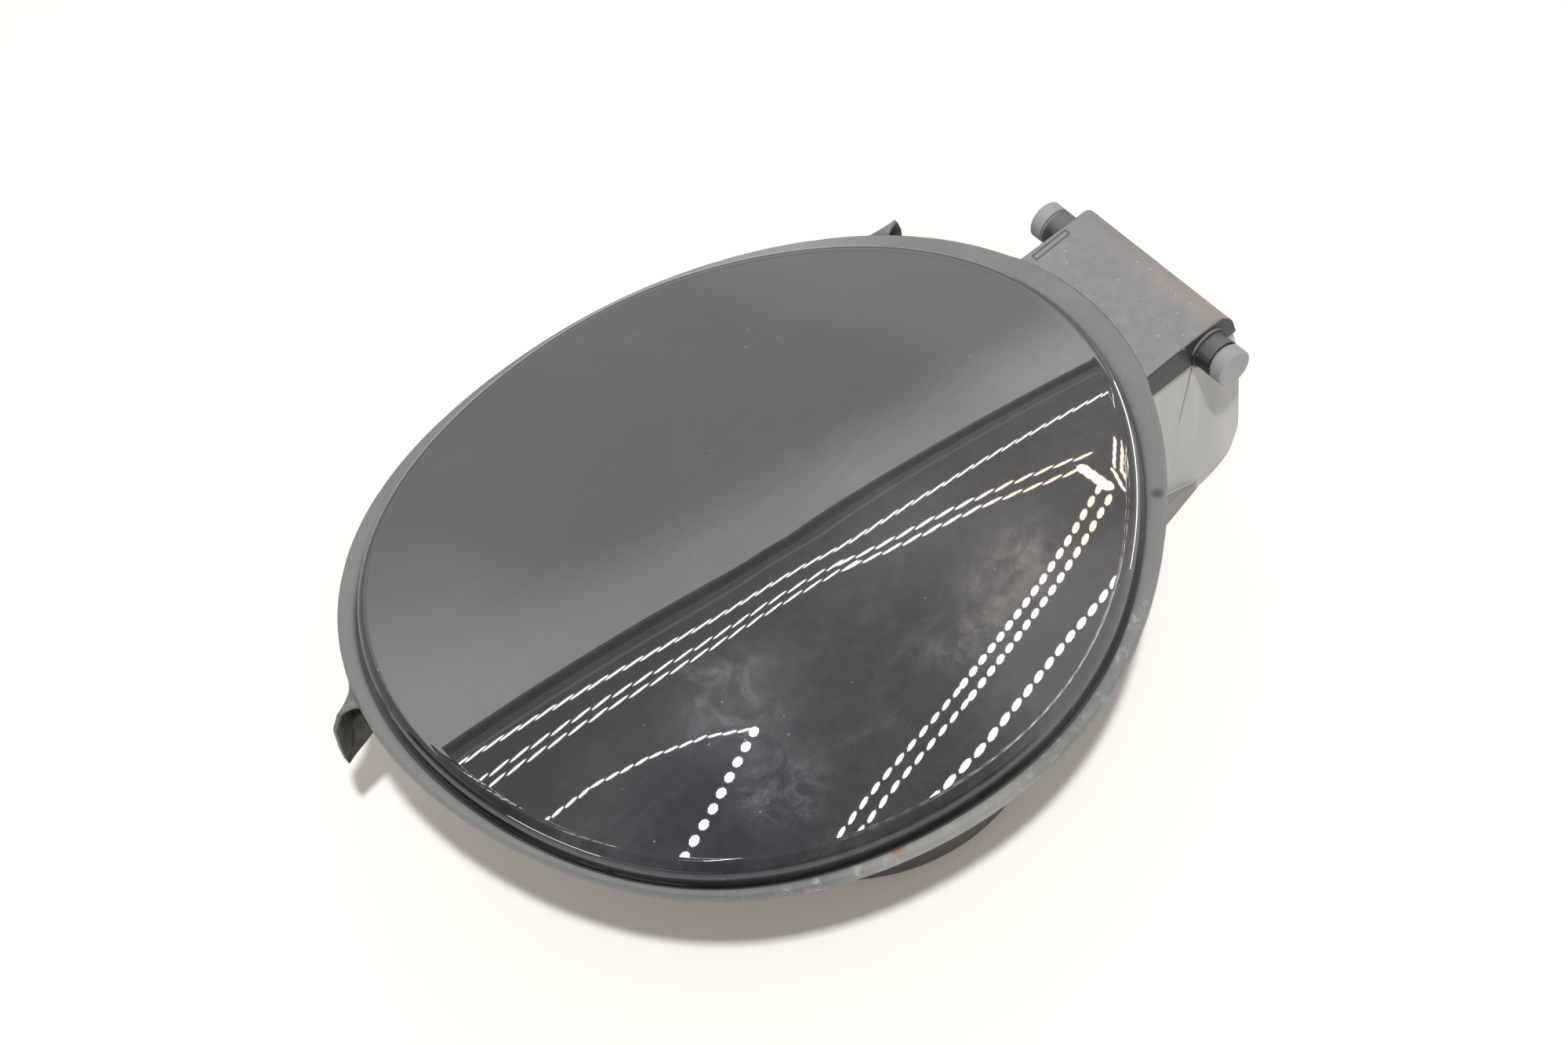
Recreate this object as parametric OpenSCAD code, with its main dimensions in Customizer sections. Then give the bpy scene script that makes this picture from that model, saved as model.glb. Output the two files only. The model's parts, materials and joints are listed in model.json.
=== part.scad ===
// Car fuel door: a gloss flap on a gooseneck arm, its bowl-shaped housing, seal lip and lock.
// Origin: axis of the filler neck at the underside of the bowl. +X to the hinge, +Z out of the car.

/* [Flap] */
// Mean radius of the flap's egg outline
flap_r = 86.3; // [82:0.5:90]
// Extra radius of the flap along its long axis
flap_stretch = 5.7; // [4:0.2:7]
// Angle of the flap's long axis
flap_turn = -4.5; // [-10:0.5:0]
// Size of the three-sided term that makes the outline an egg
flap_egg = 2.2; // [0:0.2:3]
// Angle of the egg's blunt corner
flap_egg_turn = 14.5; // [10:0.5:25]
// Size of the five-sided term that squares the outline a little
flap_five = 0.8; // [0:0.1:1.2]
// Centre of the flap from the neck axis, along X
flap_x = -7.8; // [-12:0.2:-4]
// Centre of the flap from the neck axis, along Y
flap_y = 14.4; // [10:0.2:18]
// Height of the flap's rim above the base
flap_top = 68; // [66:0.5:72]
// Rise of the crown above the rim
flap_crown = 3.5; // [1:0.5:5]
// Depth of the flap's side wall
flap_side = 6.5; // [5.5:0.5:7]
// Thickness of the outer skin
skin_t = 1.6; // [1:0.1:2.2]
// Radius of the rolled edge of the skin
skin_edge_r = 3; // [2:0.5:4]
// Thickness of the inner panel
panel_t = 2; // [1.5:0.1:2.5]
// Width of the inner panel's border from the mouth in to its pan
pan_in = 12; // [8:1:20]
// Rise of the pan towards the skin
pan_rise = 2.6; // [1:0.2:3]

/* [Seal lip] */
// Mean width of the lip outside the flap
lip_w = 4.6; // [4:0.1:7]
// Shift of the lip's outer edge towards the hinge
lip_shift = 2.1; // [0:0.1:2.3]
// Direction of that shift
lip_shift_turn = 25; // [0:5:40]
// Extra width of the lip at both ends of the flap
lip_stretch = 1.2; // [0:0.1:1.4]
// Height of the three waves along the lip's outer edge
lip_wave = 0.9; // [0:0.1:1]
// Gap between the flap and the lip
lip_gap = 0.9; // [0.8:0.1:1.4]
// Thickness of the lip over the flange
lip_t = 2.2; // [1.8:0.1:2.6]
// Length of the skirt that hangs round the flange
lip_skirt = 1.6; // [1:0.1:2]
// Thickness of the skirt
lip_skirt_t = 1.2; // [1:0.1:1.6]
// Angles of the two spouts where the drip channel ends
spout_at = [30.8, 160.4]; // [0:0.2:360]
// Width of a spout's leaf-shaped mouth
spout_w = 8.8; // [7:0.2:10]
// Length of a spout's flare along the lip, in degrees round the flap
spout_flare = 4.5; // [3:0.5:7]
// Height of a spout's leaf-shaped mouth
spout_h = 20.5; // [14:0.5:22]
// Angle of the small notch in the lip's outer edge
notch_at = -33.5; // [-40:0.5:-30]
// Wall round a spout's mouth
spout_wall = 1.1; // [0.8:0.1:1.6]

/* [Hinge] */
// Distance of the hinge axis from the flap's edge
hinge_out = 21.8; // [20:0.1:24]
// Middle of the hinge, along Y
hinge_y = 13; // [11:0.2:15]
// Depth of the hinge axis below the flange
hinge_drop = 5.4; // [5:0.1:5.9]
// Radius of the hinge pin
pin_r = 3; // [2.5:0.1:3]
// Radius of the bosses and caps at the pin's ends
boss_r = 4.85; // [4.5:0.05:5.2]
// Length of each stub from the roof's side to the cap's face
stub_l = 9.2; // [8:0.2:12]
// Thickness of a pin cap
cap_t = 3.6; // [2.5:0.1:4]
// Width of the groove between boss and cap
cap_groove = 0.8; // [0.4:0.1:1.2]
// Radius of the arm's eyes
eye_r = 4.7; // [4.5:0.05:4.8]
// Width of each eye along the pin
eye_w = 7; // [5:0.5:8]
// Room on each side of the gooseneck arm
arm_side_room = 2.6; // [1:0.2:5]
// Inner radius of the gooseneck's curve
arm_curve_r = 36.5; // [35:0.5:38]
// Depth of the arm's section
arm_depth = 7; // [5:0.5:7]
// Thickness of the arm's web
arm_web = 3; // [2.5:0.1:3.5]
// Thickness of the arm's side ribs
arm_rib = 3; // [2:0.1:4]
// Thickness of the arm's foot under the flap
foot_t = 3; // [2.5:0.1:3.5]
// Length of the arm's foot
foot_l = 30; // [24:1:36]
// Wire thickness of the hinge spring
hinge_wire = 1; // [0.8:0.1:1.1]
// Coils of the hinge spring
hinge_coils = 7; // [4:1:8]

/* [Housing] */
// Wall thickness of the housing
wall = 2.2; // [1.8:0.1:2.4]
// Width of the hinge pocket's roof
roof_w = 46.4; // [45:0.2:50]
// Step from the roof's side down to the pocket's side wall
roof_step = 1.4; // [0.6:0.1:1.8]
// Radius of the barrel that the roof forms round the hinge axis
barrel_r = 7.4; // [7.2:0.1:8]
// Shift of that barrel outwards from the hinge axis
barrel_x = 1.3; // [1:0.1:1.6]
// Length of the roof's slope from the seal lip up to the barrel
roof_run = 18; // [14:1:22]
// Fall of the roof over that slope
roof_fall = 1; // [0.6:0.2:1.6]
// Fillet along the roof's side edges
roof_side_fillet = 1.6; // [0.8:0.1:3]
// Depth of the roof's side band above the step
roof_band = 9.6; // [8:0.2:10]
// Bulge of the pocket beyond the hinge axis
pocket_out = 12; // [11.8:0.1:14]
// Room between the arm's curve and the pocket's front wall, outside face
pocket_room = 7.7; // [7.3:0.1:8.9]
// Thickness of the flange under the seal lip
flange_t = 1.8; // [1.6:0.1:2]
// Step from the flap's mean radius in to the mouth
mouth_in = 14.3; // [12:0.1:18]
// Taper of the dish from the mouth to its floor
dish_taper = 10; // [8:0.5:11]
// Height of the dish floor
dish_floor = 32; // [28:1:36]
// Ledge left between the pot and the dish wall where they are nearest
pot_ledge = 0.22; // [0.2:0.02:1]
// Draft of the pot's wall from the dish down to its floor
pot_draft = 1.8; // [1:0.1:2.4]
// Radius of the neck hole as a share of the pot's
neck_share = 0.7156; // [0.65:0.0001:0.74]
// Height of the collar round the neck hole
collar_h = 13; // [8:1:18]
// Radius of the neck screw holes
neck_screw_r = 2.6; // [2:0.1:2.8]
// Length of the split in the pocket's near wall
split_l = 21; // [8:1:24]

/* [Seals and stops] */
// Thickness of the neck seal's sleeve, its seat clearance with it
neck_sleeve = 4.2; // [3:0.1:6]
// Width of the neck seal's top rim
neck_rim = 5; // [3:0.5:5]
// Radius of the drain spout
drain_r = 5; // [4:0.5:6]
// Length of the drain spout below the dish
drain_l = 18; // [10:1:24]
// Radius of a rubber stop
stop_r = 4; // [3:0.5:5]
// Angles of the two rubber stops
stop_at = [140, 220]; // [100:1:260]

/* [Fittings] */
// Angles of the tabs that carry the panel clips
clip_at = [58, 118, 212, 286]; // [0:1:360]
// Distance of those tabs from the mouth's edge
tab_out = 4; // [3.5:0.1:5]
// Thickness of a tab
tab_t = 2; // [1.6:0.1:2.4]
// Depth of a tab below the flange
tab_h = 8; // [7:0.5:10]
// Width of a panel clip; its tab is one millimetre wider on each side
clip_w = 10; // [8:0.5:14]
// Sheet thickness of a panel clip
clip_t = 0.8; // [0.6:0.1:1]
// Outer radius of the cap holder
holder_r = 11; // [9:0.5:13]
// Wall thickness of the cap holder
holder_wall = 2; // [1.5:0.1:2.5]
// Height of the cap holder
holder_h = 9; // [8:0.5:11]
// Thread radius of the arm's screws
screw_r = 1.5; // [1.2:0.1:1.8]
// Height of their heads
screw_head_h = 1.8; // [1.2:0.1:2.2]

/* [Lock] */
// Depth of the lock pin's axis below the flange
lock_drop = 10.5; // [9.5:0.5:11.5]
// Radius of the lock pin
lock_r = 2.5; // [2:0.1:3]
// Travel of the lock pin
lock_travel = 7; // [6.5:0.5:8.5]
// Outer size of the lock case across its axis
lock_case_w = 13; // [13:0.5:16]
// Wire thickness of the lock spring
lock_wire = 0.7; // [0.5:0.1:0.9]
// Coils of the lock spring
lock_coils = 4; // [3:1:6]
// Width of the striker's loop
striker_w = 12; // [11:0.5:14]
// Thickness of the striker's loop
striker_t = 3; // [2.5:0.1:3.5]
// Length of the striker's foot
striker_l = 22; // [18:0.5:26]

/* [Hidden] */
$fn = 96;
eps = 0.01;
run_clear = 0.05;
seat_clear = 0.2;
part_clear = 0.3;
outline_n = 120;

skin_bottom = flap_top - flap_side;
panel_bottom = skin_bottom + 0.4;
flange_top = skin_bottom - 1;
flange_bottom = flange_top - flange_t;
lip_top = flange_top + lip_t;
hinge_x = flap_x + flap_edge(0) + hinge_out;
hinge_z = flange_top - hinge_drop;
roof_z = hinge_z + barrel_r;
pocket_w = roof_w - 2 * roof_step;
pocket_in = pocket_w - 2 * wall;
pocket_front = arm_curve_r + arm_depth + pocket_room;
arm_w = pocket_in - 2 * arm_side_room;
hinge_l = roof_w + 2 * stub_l;
boss_end = hinge_l / 2 - cap_t - cap_groove;
slot_x1 = hinge_x - arm_curve_r + 3.2;
mouth_r = flap_r - mouth_in;
dish_r = mouth_r - dish_taper;
pan_r = mouth_r - pan_in;
pot_top_r = dish_r - norm([flap_x, flap_y]) - pot_ledge;
pot_r = pot_top_r - pot_draft;
neck_hole_r = pot_r * neck_share;
neck_bore_r = neck_hole_r - neck_sleeve;
neck_pcd = neck_hole_r + wall + pot_r;
foot_top = panel_bottom;
foot_x1 = hinge_x - arm_curve_r;
foot_x0 = foot_x1 - arm_depth - foot_l;
bush_t = 0.8;
screw_l = 3;
rib_in = 14;
rib_t = 2;
lock_y = flap_y;
lock_z = flange_top - lock_drop;
lock_face = flap_x - cone_r(lock_z) - wall;
strike_x = flap_x - cone_r(lock_z - striker_w / 2) + 0.8;
collar_t = 1.2;
lock_bore_r = 5.2;
lock_end_t = 1.6;
lock_cover_t = 1.4;
lock_case_l = collar_t + lock_travel + lock_coils * lock_wire + lock_end_t + 0.5;
lock_x0 = lock_face - lock_case_l;
stop_seat = (mouth_r + flap_r) / 2;
tab_r = mouth_r + tab_out;
split_gap = 0.6;

// Radius of the flap's outline at an angle
function flap_edge(a) =
    flap_r + flap_stretch * cos(2 * (a - flap_turn)) + flap_egg * cos(3 * (a - flap_egg_turn))
    + flap_five * cos(5 * (a - 3));
// Radius of the seal lip's outer edge at an angle
function lip_edge(a) =
    flap_edge(a) + lip_w + lip_shift * cos(a - lip_shift_turn) + lip_stretch * cos(2 * (a + 15))
    + lip_wave * cos(3 * (a - flap_egg_turn));
// Inner radius of the dish at a height
function cone_r(z) =
    dish_r + (mouth_r - dish_r) * (z - dish_floor - wall) / (flange_top - dish_floor - wall);
function polar(r, a) = [r * cos(a), r * sin(a)];
function arc(c, r, a0, a1, n = 8) =
    [for (i = [0:n]) c + polar(r, a0 + (a1 - a0) * i / n)];
function flap_points(inset) =
    [for (i = [0:outline_n - 1]) let (a = 360 * i / outline_n) polar(flap_edge(a) - inset, a)];
function lip_points(inset) =
    [for (i = [0:outline_n - 1]) let (a = 360 * i / outline_n) polar(lip_edge(a) - inset, a)];

// Quads between rings of equal length, the last ring joined to the first when looped
function ring_faces(rings, n, looped = false) = [
    for (j = [0:rings - (looped ? 1 : 2)], i = [0:n - 1])
        let (k = (i + 1) % n, m = (j + 1) % rings)
            [j * n + i, j * n + k, m * n + k, m * n + i]
];

// A closed ring of the section [[inner share, outer share, inset, height], ...] round the flap
module sweep_round(section) {
    rings = len(section);
    polyhedron(
        points = [
            for (p = section, i = [0:outline_n - 1])
                let (a = 360 * i / outline_n,
                     r = p[0] * flap_edge(a) + p[1] * lip_edge(a) - p[2])
                    [r * cos(a), r * sin(a), p[3]]
        ],
        faces = ring_faces(rings, outline_n, true)
    );
}

// Height of the skin's outer face where the outline is scaled by a share s
function dome(s) = flap_top + flap_crown * (1 - s * s);

module at_flap() {
    translate([flap_x, flap_y, 0]) children();
}

// Places a flat drawing (u outward from the hinge axis, v up) as a slab between two Y values
module hinge_slab(y0, y1) {
    translate([hinge_x, y1, hinge_z]) rotate([90, 0, 0]) linear_extrude(y1 - y0) children();
}

module along_y(y0, y1, r) {
    translate([hinge_x, y0, hinge_z]) rotate([-90, 0, 0]) cylinder(h = y1 - y0, r = r);
}

// Outer skin with a domed face, a rolled edge and a side wall
module door_skin() {
    n = outline_n;
    steps = 5;
    dome_shares = [0.25, 0.5, 0.72, 0.88];
    top = [for (s = dome_shares) [s, 0, dome(s)]];
    edge_z = dome(0.95) - skin_edge_r;
    roll = [
        for (i = [0:steps])
            let (b = 90 - 90 * i / steps)
                [1, skin_edge_r * (1 - cos(b)), edge_z + skin_edge_r * sin(b)]
    ];
    inner = [
        [1, skin_t, skin_bottom],
        [1, skin_t, edge_z],
        [1, skin_edge_r + skin_t, edge_z + skin_edge_r - skin_t]
    ];
    under = [for (i = [len(dome_shares) - 1:-1:0]) let (s = dome_shares[i]) [s, 0, dome(s) - skin_t]];
    rings = concat(top, roll, [[1, 0, skin_bottom]], inner, under);
    count = len(rings);
    points = concat(
        [
            for (p = rings, i = [0:n - 1])
                let (a = 360 * i / n, r = p[0] * flap_edge(a) - p[1])
                    [r * cos(a), r * sin(a), p[2]]
        ],
        [[0, 0, dome(0)], [0, 0, dome(0) - skin_t]]
    );
    last = (count - 1) * n;
    faces = concat(
        [for (i = [0:n - 1]) [count * n, (i + 1) % n, i]],
        ring_faces(count, n),
        [for (i = [0:n - 1]) [count * n + 1, last + i, last + (i + 1) % n]]
    );
    color([0.05, 0.05, 0.055]) at_flap() polyhedron(points = points, faces = faces);
}

// Inner panel: border plate, raised pan with ribs, pad for the arm
module inner_panel() {
    z0 = panel_bottom;
    pan_z = z0 + pan_rise;
    pad_edge = 2;
    rib_z = pan_z - 1.6;
    hem = 1.6;
    color([0.12, 0.12, 0.13]) difference() {
        union() {
            at_flap() {
                translate([0, 0, z0]) linear_extrude(panel_t) difference() {
                    polygon(flap_points(skin_t + part_clear));
                    circle(r = pan_r);
                }
                rotate_extrude() polygon([
                    [0, pan_z], [pan_r - pan_rise, pan_z], [pan_r - eps, z0],
                    [pan_r + eps, z0], [pan_r + eps, z0 + panel_t],
                    [pan_r - pan_rise, pan_z + panel_t], [0, pan_z + panel_t]
                ]);
                for (a = [30:60:330]) rotate(a)
                    translate([rib_in, -rib_t / 2, rib_z])
                        cube([pan_r - rib_in - pan_rise - 1, rib_t, rib_t]);
                translate([0, 0, rib_z]) difference() {
                    cylinder(h = rib_t, r = rib_in + rib_t / 2);
                    translate([0, 0, -1]) cylinder(h = rib_t + 2, r = rib_in - rib_t / 2);
                }
                translate([0, 0, z0 + panel_t - eps]) linear_extrude(hem) difference() {
                    polygon(flap_points(skin_t + part_clear));
                    polygon(flap_points(skin_t + part_clear + hem));
                }
            }
            translate([foot_x0 - pad_edge, hinge_y - arm_w / 2 - pad_edge, z0])
                cube([foot_x1 - foot_x0 + pad_edge, arm_w + 2 * pad_edge, pan_rise + panel_t]);
        }
        arm_screw_places() translate([0, 0, -1])
            cylinder(h = screw_l + 1 + eps, r = screw_r + run_clear);
    }
}

// Two rows of screws that hold the arm's foot to the panel
module arm_screw_places() {
    side_in = 8;
    for (x = [foot_x0 + 7, foot_x0 + foot_l - 4], s = [-1, 1])
        translate([x, hinge_y + s * (arm_w / 2 - side_in), foot_top]) children();
}

module arm_screws() {
    color([0.7, 0.7, 0.68]) arm_screw_places() {
        translate([0, 0, -foot_t]) cylinder(h = foot_t + screw_l, r = screw_r);
        translate([0, 0, -foot_t - screw_head_h]) difference() {
            cylinder(h = screw_head_h, r = 2 * screw_r);
            translate([0, 0, -screw_head_h]) cylinder(h = 1.6 * screw_head_h, r = screw_r, $fn = 6);
        }
    }
}

// Gooseneck: eyes on the pin, a leg down, a curve under the seal and a foot under the flap
module arm_side(inner, outer) {
    leg_in = 1.5;
    a0 = -84;
    polygon(concat(
        [[-1, -3.4], [leg_in, -9], [leg_in, -arm_curve_r + 2]],
        arc([0, 0], inner, a0 - 2, -180, 20),
        [[-inner, foot_top - hinge_z]],
        [[-outer, foot_top - hinge_z]],
        arc([0, 0], outer, -180, a0 + 2, 20),
        [[leg_in + arm_depth, -arm_curve_r + 2], [leg_in + arm_depth, -12], [3, -1]]
    ));
}

module hinge_arm() {
    z0 = foot_top - foot_t;
    mid = (arm_depth - arm_web) / 2;
    half = arm_w / 2;
    color([0.1, 0.1, 0.105]) difference() {
        union() {
            for (y = [-half, half - arm_rib])
                hinge_slab(hinge_y + y, hinge_y + y + arm_rib)
                    arm_side(arm_curve_r, arm_curve_r + arm_depth);
            hinge_slab(hinge_y - half + eps, hinge_y + half - eps) difference() {
                arm_side(arm_curve_r + mid, arm_curve_r + mid + arm_web);
                translate([-4, -10.5]) square([20, 12]);
                translate([1.5 + mid + arm_web, -arm_curve_r]) square([20, arm_curve_r]);
            }
            for (s = [-1, 1]) {
                y0 = hinge_y + (s < 0 ? -half : half - eye_w);
                along_y(y0, y0 + eye_w, eye_r);
                hinge_slab(y0, y0 + eye_w) polygon([[-3, -3.4], [1.5, -10.6], [8.5, -12], [3.4, -3]]);
            }
            translate([foot_x0, hinge_y - half, z0])
                cube([foot_l + arm_depth, arm_w, foot_t]);
            for (y = [-half, half - arm_rib])
                translate([foot_x0 + foot_l, hinge_y + y + arm_rib, z0]) rotate([90, 0, 0])
                    linear_extrude(arm_rib) polygon([[0, 0], [-12, 0], [0, -5]]);
        }
        along_y(hinge_y - half - 1, hinge_y + half + 1, pin_r + run_clear + bush_t + run_clear);
        arm_screw_places() translate([0, 0, -foot_t - 1])
            cylinder(h = foot_t + 2, r = screw_r + seat_clear);
    }
}

// Flanged bush in an eye; side is -1 for near, 1 for far
module arm_bush(side) {
    y0 = hinge_y + (side < 0 ? -arm_w / 2 : arm_w / 2 - eye_w);
    lip_y = side < 0 ? y0 - bush_t : y0 + eye_w;
    color([0.85, 0.84, 0.8]) difference() {
        union() {
            along_y(y0, y0 + eye_w, pin_r + run_clear + bush_t);
            along_y(lip_y, lip_y + bush_t, eye_r - part_clear);
        }
        along_y(y0 - 2, y0 + eye_w + 2, pin_r + run_clear);
    }
}

// Clip inside the flap that holds the filler cap while the tank is filled
module cap_holder() {
    z0 = panel_bottom + pan_rise - holder_h;
    base_t = 2.5;
    holder_x = -rib_in - rib_t / 2 - holder_r - part_clear;
    open_h = holder_h - base_t + 1;
    color([0.1, 0.1, 0.1]) at_flap() translate([holder_x, 0, z0]) difference() {
        cylinder(h = holder_h, r = holder_r);
        translate([0, 0, -1]) cylinder(h = open_h, r = holder_r - holder_wall);
        translate([-holder_wall * 2, -2 * holder_r, -1]) mirror([1, 0, 0])
            cube([2 * holder_r, 4 * holder_r, open_h]);
        translate([-holder_r - 1, -holder_r / 3, -1]) cube([3 * holder_r, holder_r / 1.5, 3]);
    }
}

// Loop on the flap that the lock pin enters
module striker() {
    h = panel_bottom - lock_z;
    w = striker_w;
    foot_w = 1.5 * striker_w;
    sheet = 1.6;
    heel = 4;
    color([0.62, 0.62, 0.6]) translate([strike_x, lock_y, lock_z]) difference() {
        union() {
            translate([0, -w / 2, -w / 2]) cube([striker_t, w, h + w / 2]);
            translate([-heel, -foot_w / 2, h - sheet]) cube([striker_l, foot_w, sheet]);
        }
        translate([-1, 0, 0]) rotate([0, 90, 0]) cylinder(h = striker_t + 2, r = lock_r + 0.8);
        translate([striker_l / 2, 0, h - 2 * sheet]) cylinder(h = 3 * sheet, r = sheet);
    }
}

// Side view of the hinge pocket, drawn inwards by an inset
function pocket_side(d) =
    let (bend_r = 14, low = -hinge_z, bend = [pocket_out - bend_r, low + bend_r + 0.5],
         tilt = 22, front_r = 8,
         rise = atan2(roof_fall, roof_run), side = atan2(15, pocket_out - barrel_r - barrel_x),
         roof_low = barrel_r - roof_fall - d * (1 / cos(rise)),
         end = bend + polar(bend_r - d, -90 + tilt),
         run = (end[1] - low - d) / tan(tilt))
    concat(
        [[-pocket_front + d, roof_low], [-roof_run, roof_low]],
        arc([barrel_x, 0], barrel_r - d, 90 + rise, 90 - side, 12),
        [[pocket_out - d, -15]],
        arc(bend, bend_r - d, 0, -90 + tilt),
        [[end[0] - run, low + d]],
        arc([-pocket_front + front_r, low + front_r], front_r - d, -90, -180)
    );

// End view of the pocket with rounded edges, as wide as given
function pocket_end(w, top_r) =
    let (h = w / 2, foot_r = 2)
    concat(
        arc([h - top_r, roof_z - top_r], top_r, 0, 90),
        arc([-h + top_r, roof_z - top_r], top_r, 90, 180),
        arc([-h + foot_r, foot_r], foot_r, 180, 270),
        arc([h - foot_r, foot_r], foot_r, -90, 0)
    );

module pocket_outside() {
    intersection() {
        union() {
            hinge_slab(hinge_y - pocket_w / 2, hinge_y + pocket_w / 2) polygon(pocket_side(0));
            hinge_slab(hinge_y - roof_w / 2, hinge_y + roof_w / 2) intersection() {
                polygon(pocket_side(0));
                translate([-roof_run - barrel_r, barrel_r - roof_band]) square([roof_w, roof_band]);
            }
        }
        translate([hinge_x - 2 * pocket_front, hinge_y, 0]) rotate([90, 0, 90])
            linear_extrude(4 * pocket_front) polygon(pocket_end(roof_w, roof_side_fillet));
    }
}

// Low web that joins the pocket's near wall to the pot
module pocket_web() {
    near = hinge_y - pocket_w / 2;
    low = -hinge_z;
    web_out = hinge_x - 1;
    intersection() {
        linear_extrude(dish_floor) polygon([
            [web_out, near + 1], [web_out, near], [web_out - 13, near - 2.8],
            polar(pot_r + wall / 2, -29), [pot_r, near + 1]
        ]);
        hinge_slab(near - 30, near + 2) polygon([
            [-1, low], [-1, low + 2.6], [-12, low + 7], [-70, low + 20], [-70, low]
        ]);
    }
}

module pocket_inside() {
    hinge_slab(hinge_y - pocket_in / 2, hinge_y + pocket_in / 2) polygon(pocket_side(wall));
}

// Revolved wall of the pot, its floor and the collar round the neck
module pot_outside() {
    rotate_extrude() polygon(concat(
        [[0, 0]],
        arc([pot_r + wall - 5, 5], 5, -90, 0),
        [[pot_top_r + wall, dish_floor + eps], [0, dish_floor + eps]]
    ));
}

module pot_inside() {
    rotate_extrude() difference() {
        polygon(concat(
            [[neck_hole_r - 5, wall]],
            arc([pot_r - 3, wall + 3], 3, -90, 0),
            [[pot_top_r, dish_floor + wall + 1], [0, dish_floor + wall + 1], [0, wall]]
        ));
        translate([neck_hole_r, 0]) square([wall, collar_h]);
    }
}

// Ribs between the dish and the pot
module under_ribs() {
    z0 = dish_floor / 4;
    top = dish_floor - z0 + 1;
    for (a = [60, 100, 140, 180, 220, 330])
        rotate(a) translate([pot_r, -1, z0]) rotate([90, 0, 0]) mirror([0, 0, 1])
            linear_extrude(2) polygon([[0, 0], [3, 0], [12, top], [0, top]]);
}

// Flange, dish, pot, collar and hinge pocket in one moulding
module housing() {
    tab_w = clip_w + 2;
    color([0.2, 0.2, 0.205]) difference() {
        union() {
            at_flap() {
                translate([0, 0, flange_bottom]) linear_extrude(flange_t)
                    polygon(lip_points(lip_skirt_t + part_clear));
                translate([0, 0, dish_floor])
                    cylinder(h = flange_bottom - dish_floor + eps, r1 = dish_r + wall, r2 = mouth_r + wall);
                for (a = clip_at) rotate(a) translate([tab_r, -tab_w / 2, flange_bottom - tab_h])
                    cube([tab_t, tab_w, tab_h + eps]);
            }
            pot_outside();
            under_ribs();
            pocket_web();
            difference() {
                pocket_outside();
                at_flap() translate([0, 0, flange_top]) linear_extrude(20)
                    polygon(lip_points(-part_clear));
            }
            along_y(hinge_y - boss_end, hinge_y + boss_end, boss_r);
            along_y(hinge_y - roof_w / 2 - 0.8, hinge_y + roof_w / 2 + 0.8, boss_r + 0.6);
        }
        difference() {
            pocket_inside();
            at_flap() translate([0, 0, flange_bottom]) linear_extrude(flange_t)
                polygon(lip_points(lip_skirt_t + part_clear));
        }
        translate([foot_x0, hinge_y - pocket_in / 2, flange_bottom - 4])
            cube([slot_x1 - foot_x0, pocket_in, flange_t + 5]);
        at_flap() translate([0, 0, dish_floor + wall])
            cylinder(h = flange_top - dish_floor - wall + eps, r1 = dish_r, r2 = mouth_r);
        pot_inside();
        translate([0, 0, -1]) cylinder(h = collar_h + 4, r = neck_hole_r);
        for (a = [90:120:330]) rotate(a) translate([neck_pcd / 2, 0, -1])
            cylinder(h = wall + 2, r = neck_screw_r);
        along_y(hinge_y - hinge_l, hinge_y + hinge_l, pin_r + run_clear);
        translate([0, 0, dish_floor - 1]) drain_place() cylinder(h = wall + 2, r = drain_r - 1);
        for (a = stop_at) stop_place(a) translate([0, 0, -flange_t - 1])
            cylinder(h = flange_t + 2, r = stop_r / 2);
        translate([lock_face - 6, lock_y, lock_z]) rotate([0, 90, 0])
            cylinder(h = 12, r = lock_r + part_clear);
        pocket_split();
        roof_mark();
    }
}

// The thin split that runs down the near side wall of the pocket
module pocket_split() {
    y = hinge_y - pocket_w / 2;
    split_v = barrel_r - roof_band - 0.4;
    lean = split_l / 4;
    hinge_slab(y - 2, y + wall + 1) polygon([
        [-pin_r - split_gap / 2, split_v], [-pin_r + split_gap / 2, split_v],
        [-pin_r - lean + split_gap / 2, split_v - split_l], [-pin_r - lean, split_v - split_l]
    ]);
}

// Narrow sunk strip along the far edge of the roof
module roof_mark() {
    rise = atan2(roof_fall, roof_run);
    mark = [11, 1.8, 1];
    groove = 0.3;
    translate([hinge_x, hinge_y + roof_w / 2 - 1.4 - mark[1], roof_z]) rotate([0, -rise, 0])
        translate([-roof_run + 4.2, 0, -groove]) difference() {
            cube(mark);
            translate([groove, groove, -1]) cube([mark[0] - 2 * groove, mark[1] - 2 * groove, 4]);
        }
}

module drain_place() {
    at_flap() rotate(100) translate([dish_r - 9, 0, 0]) children();
}

module stop_place(a) {
    at_flap() rotate(a) translate([stop_seat, 0, flange_top]) children();
}

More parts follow.
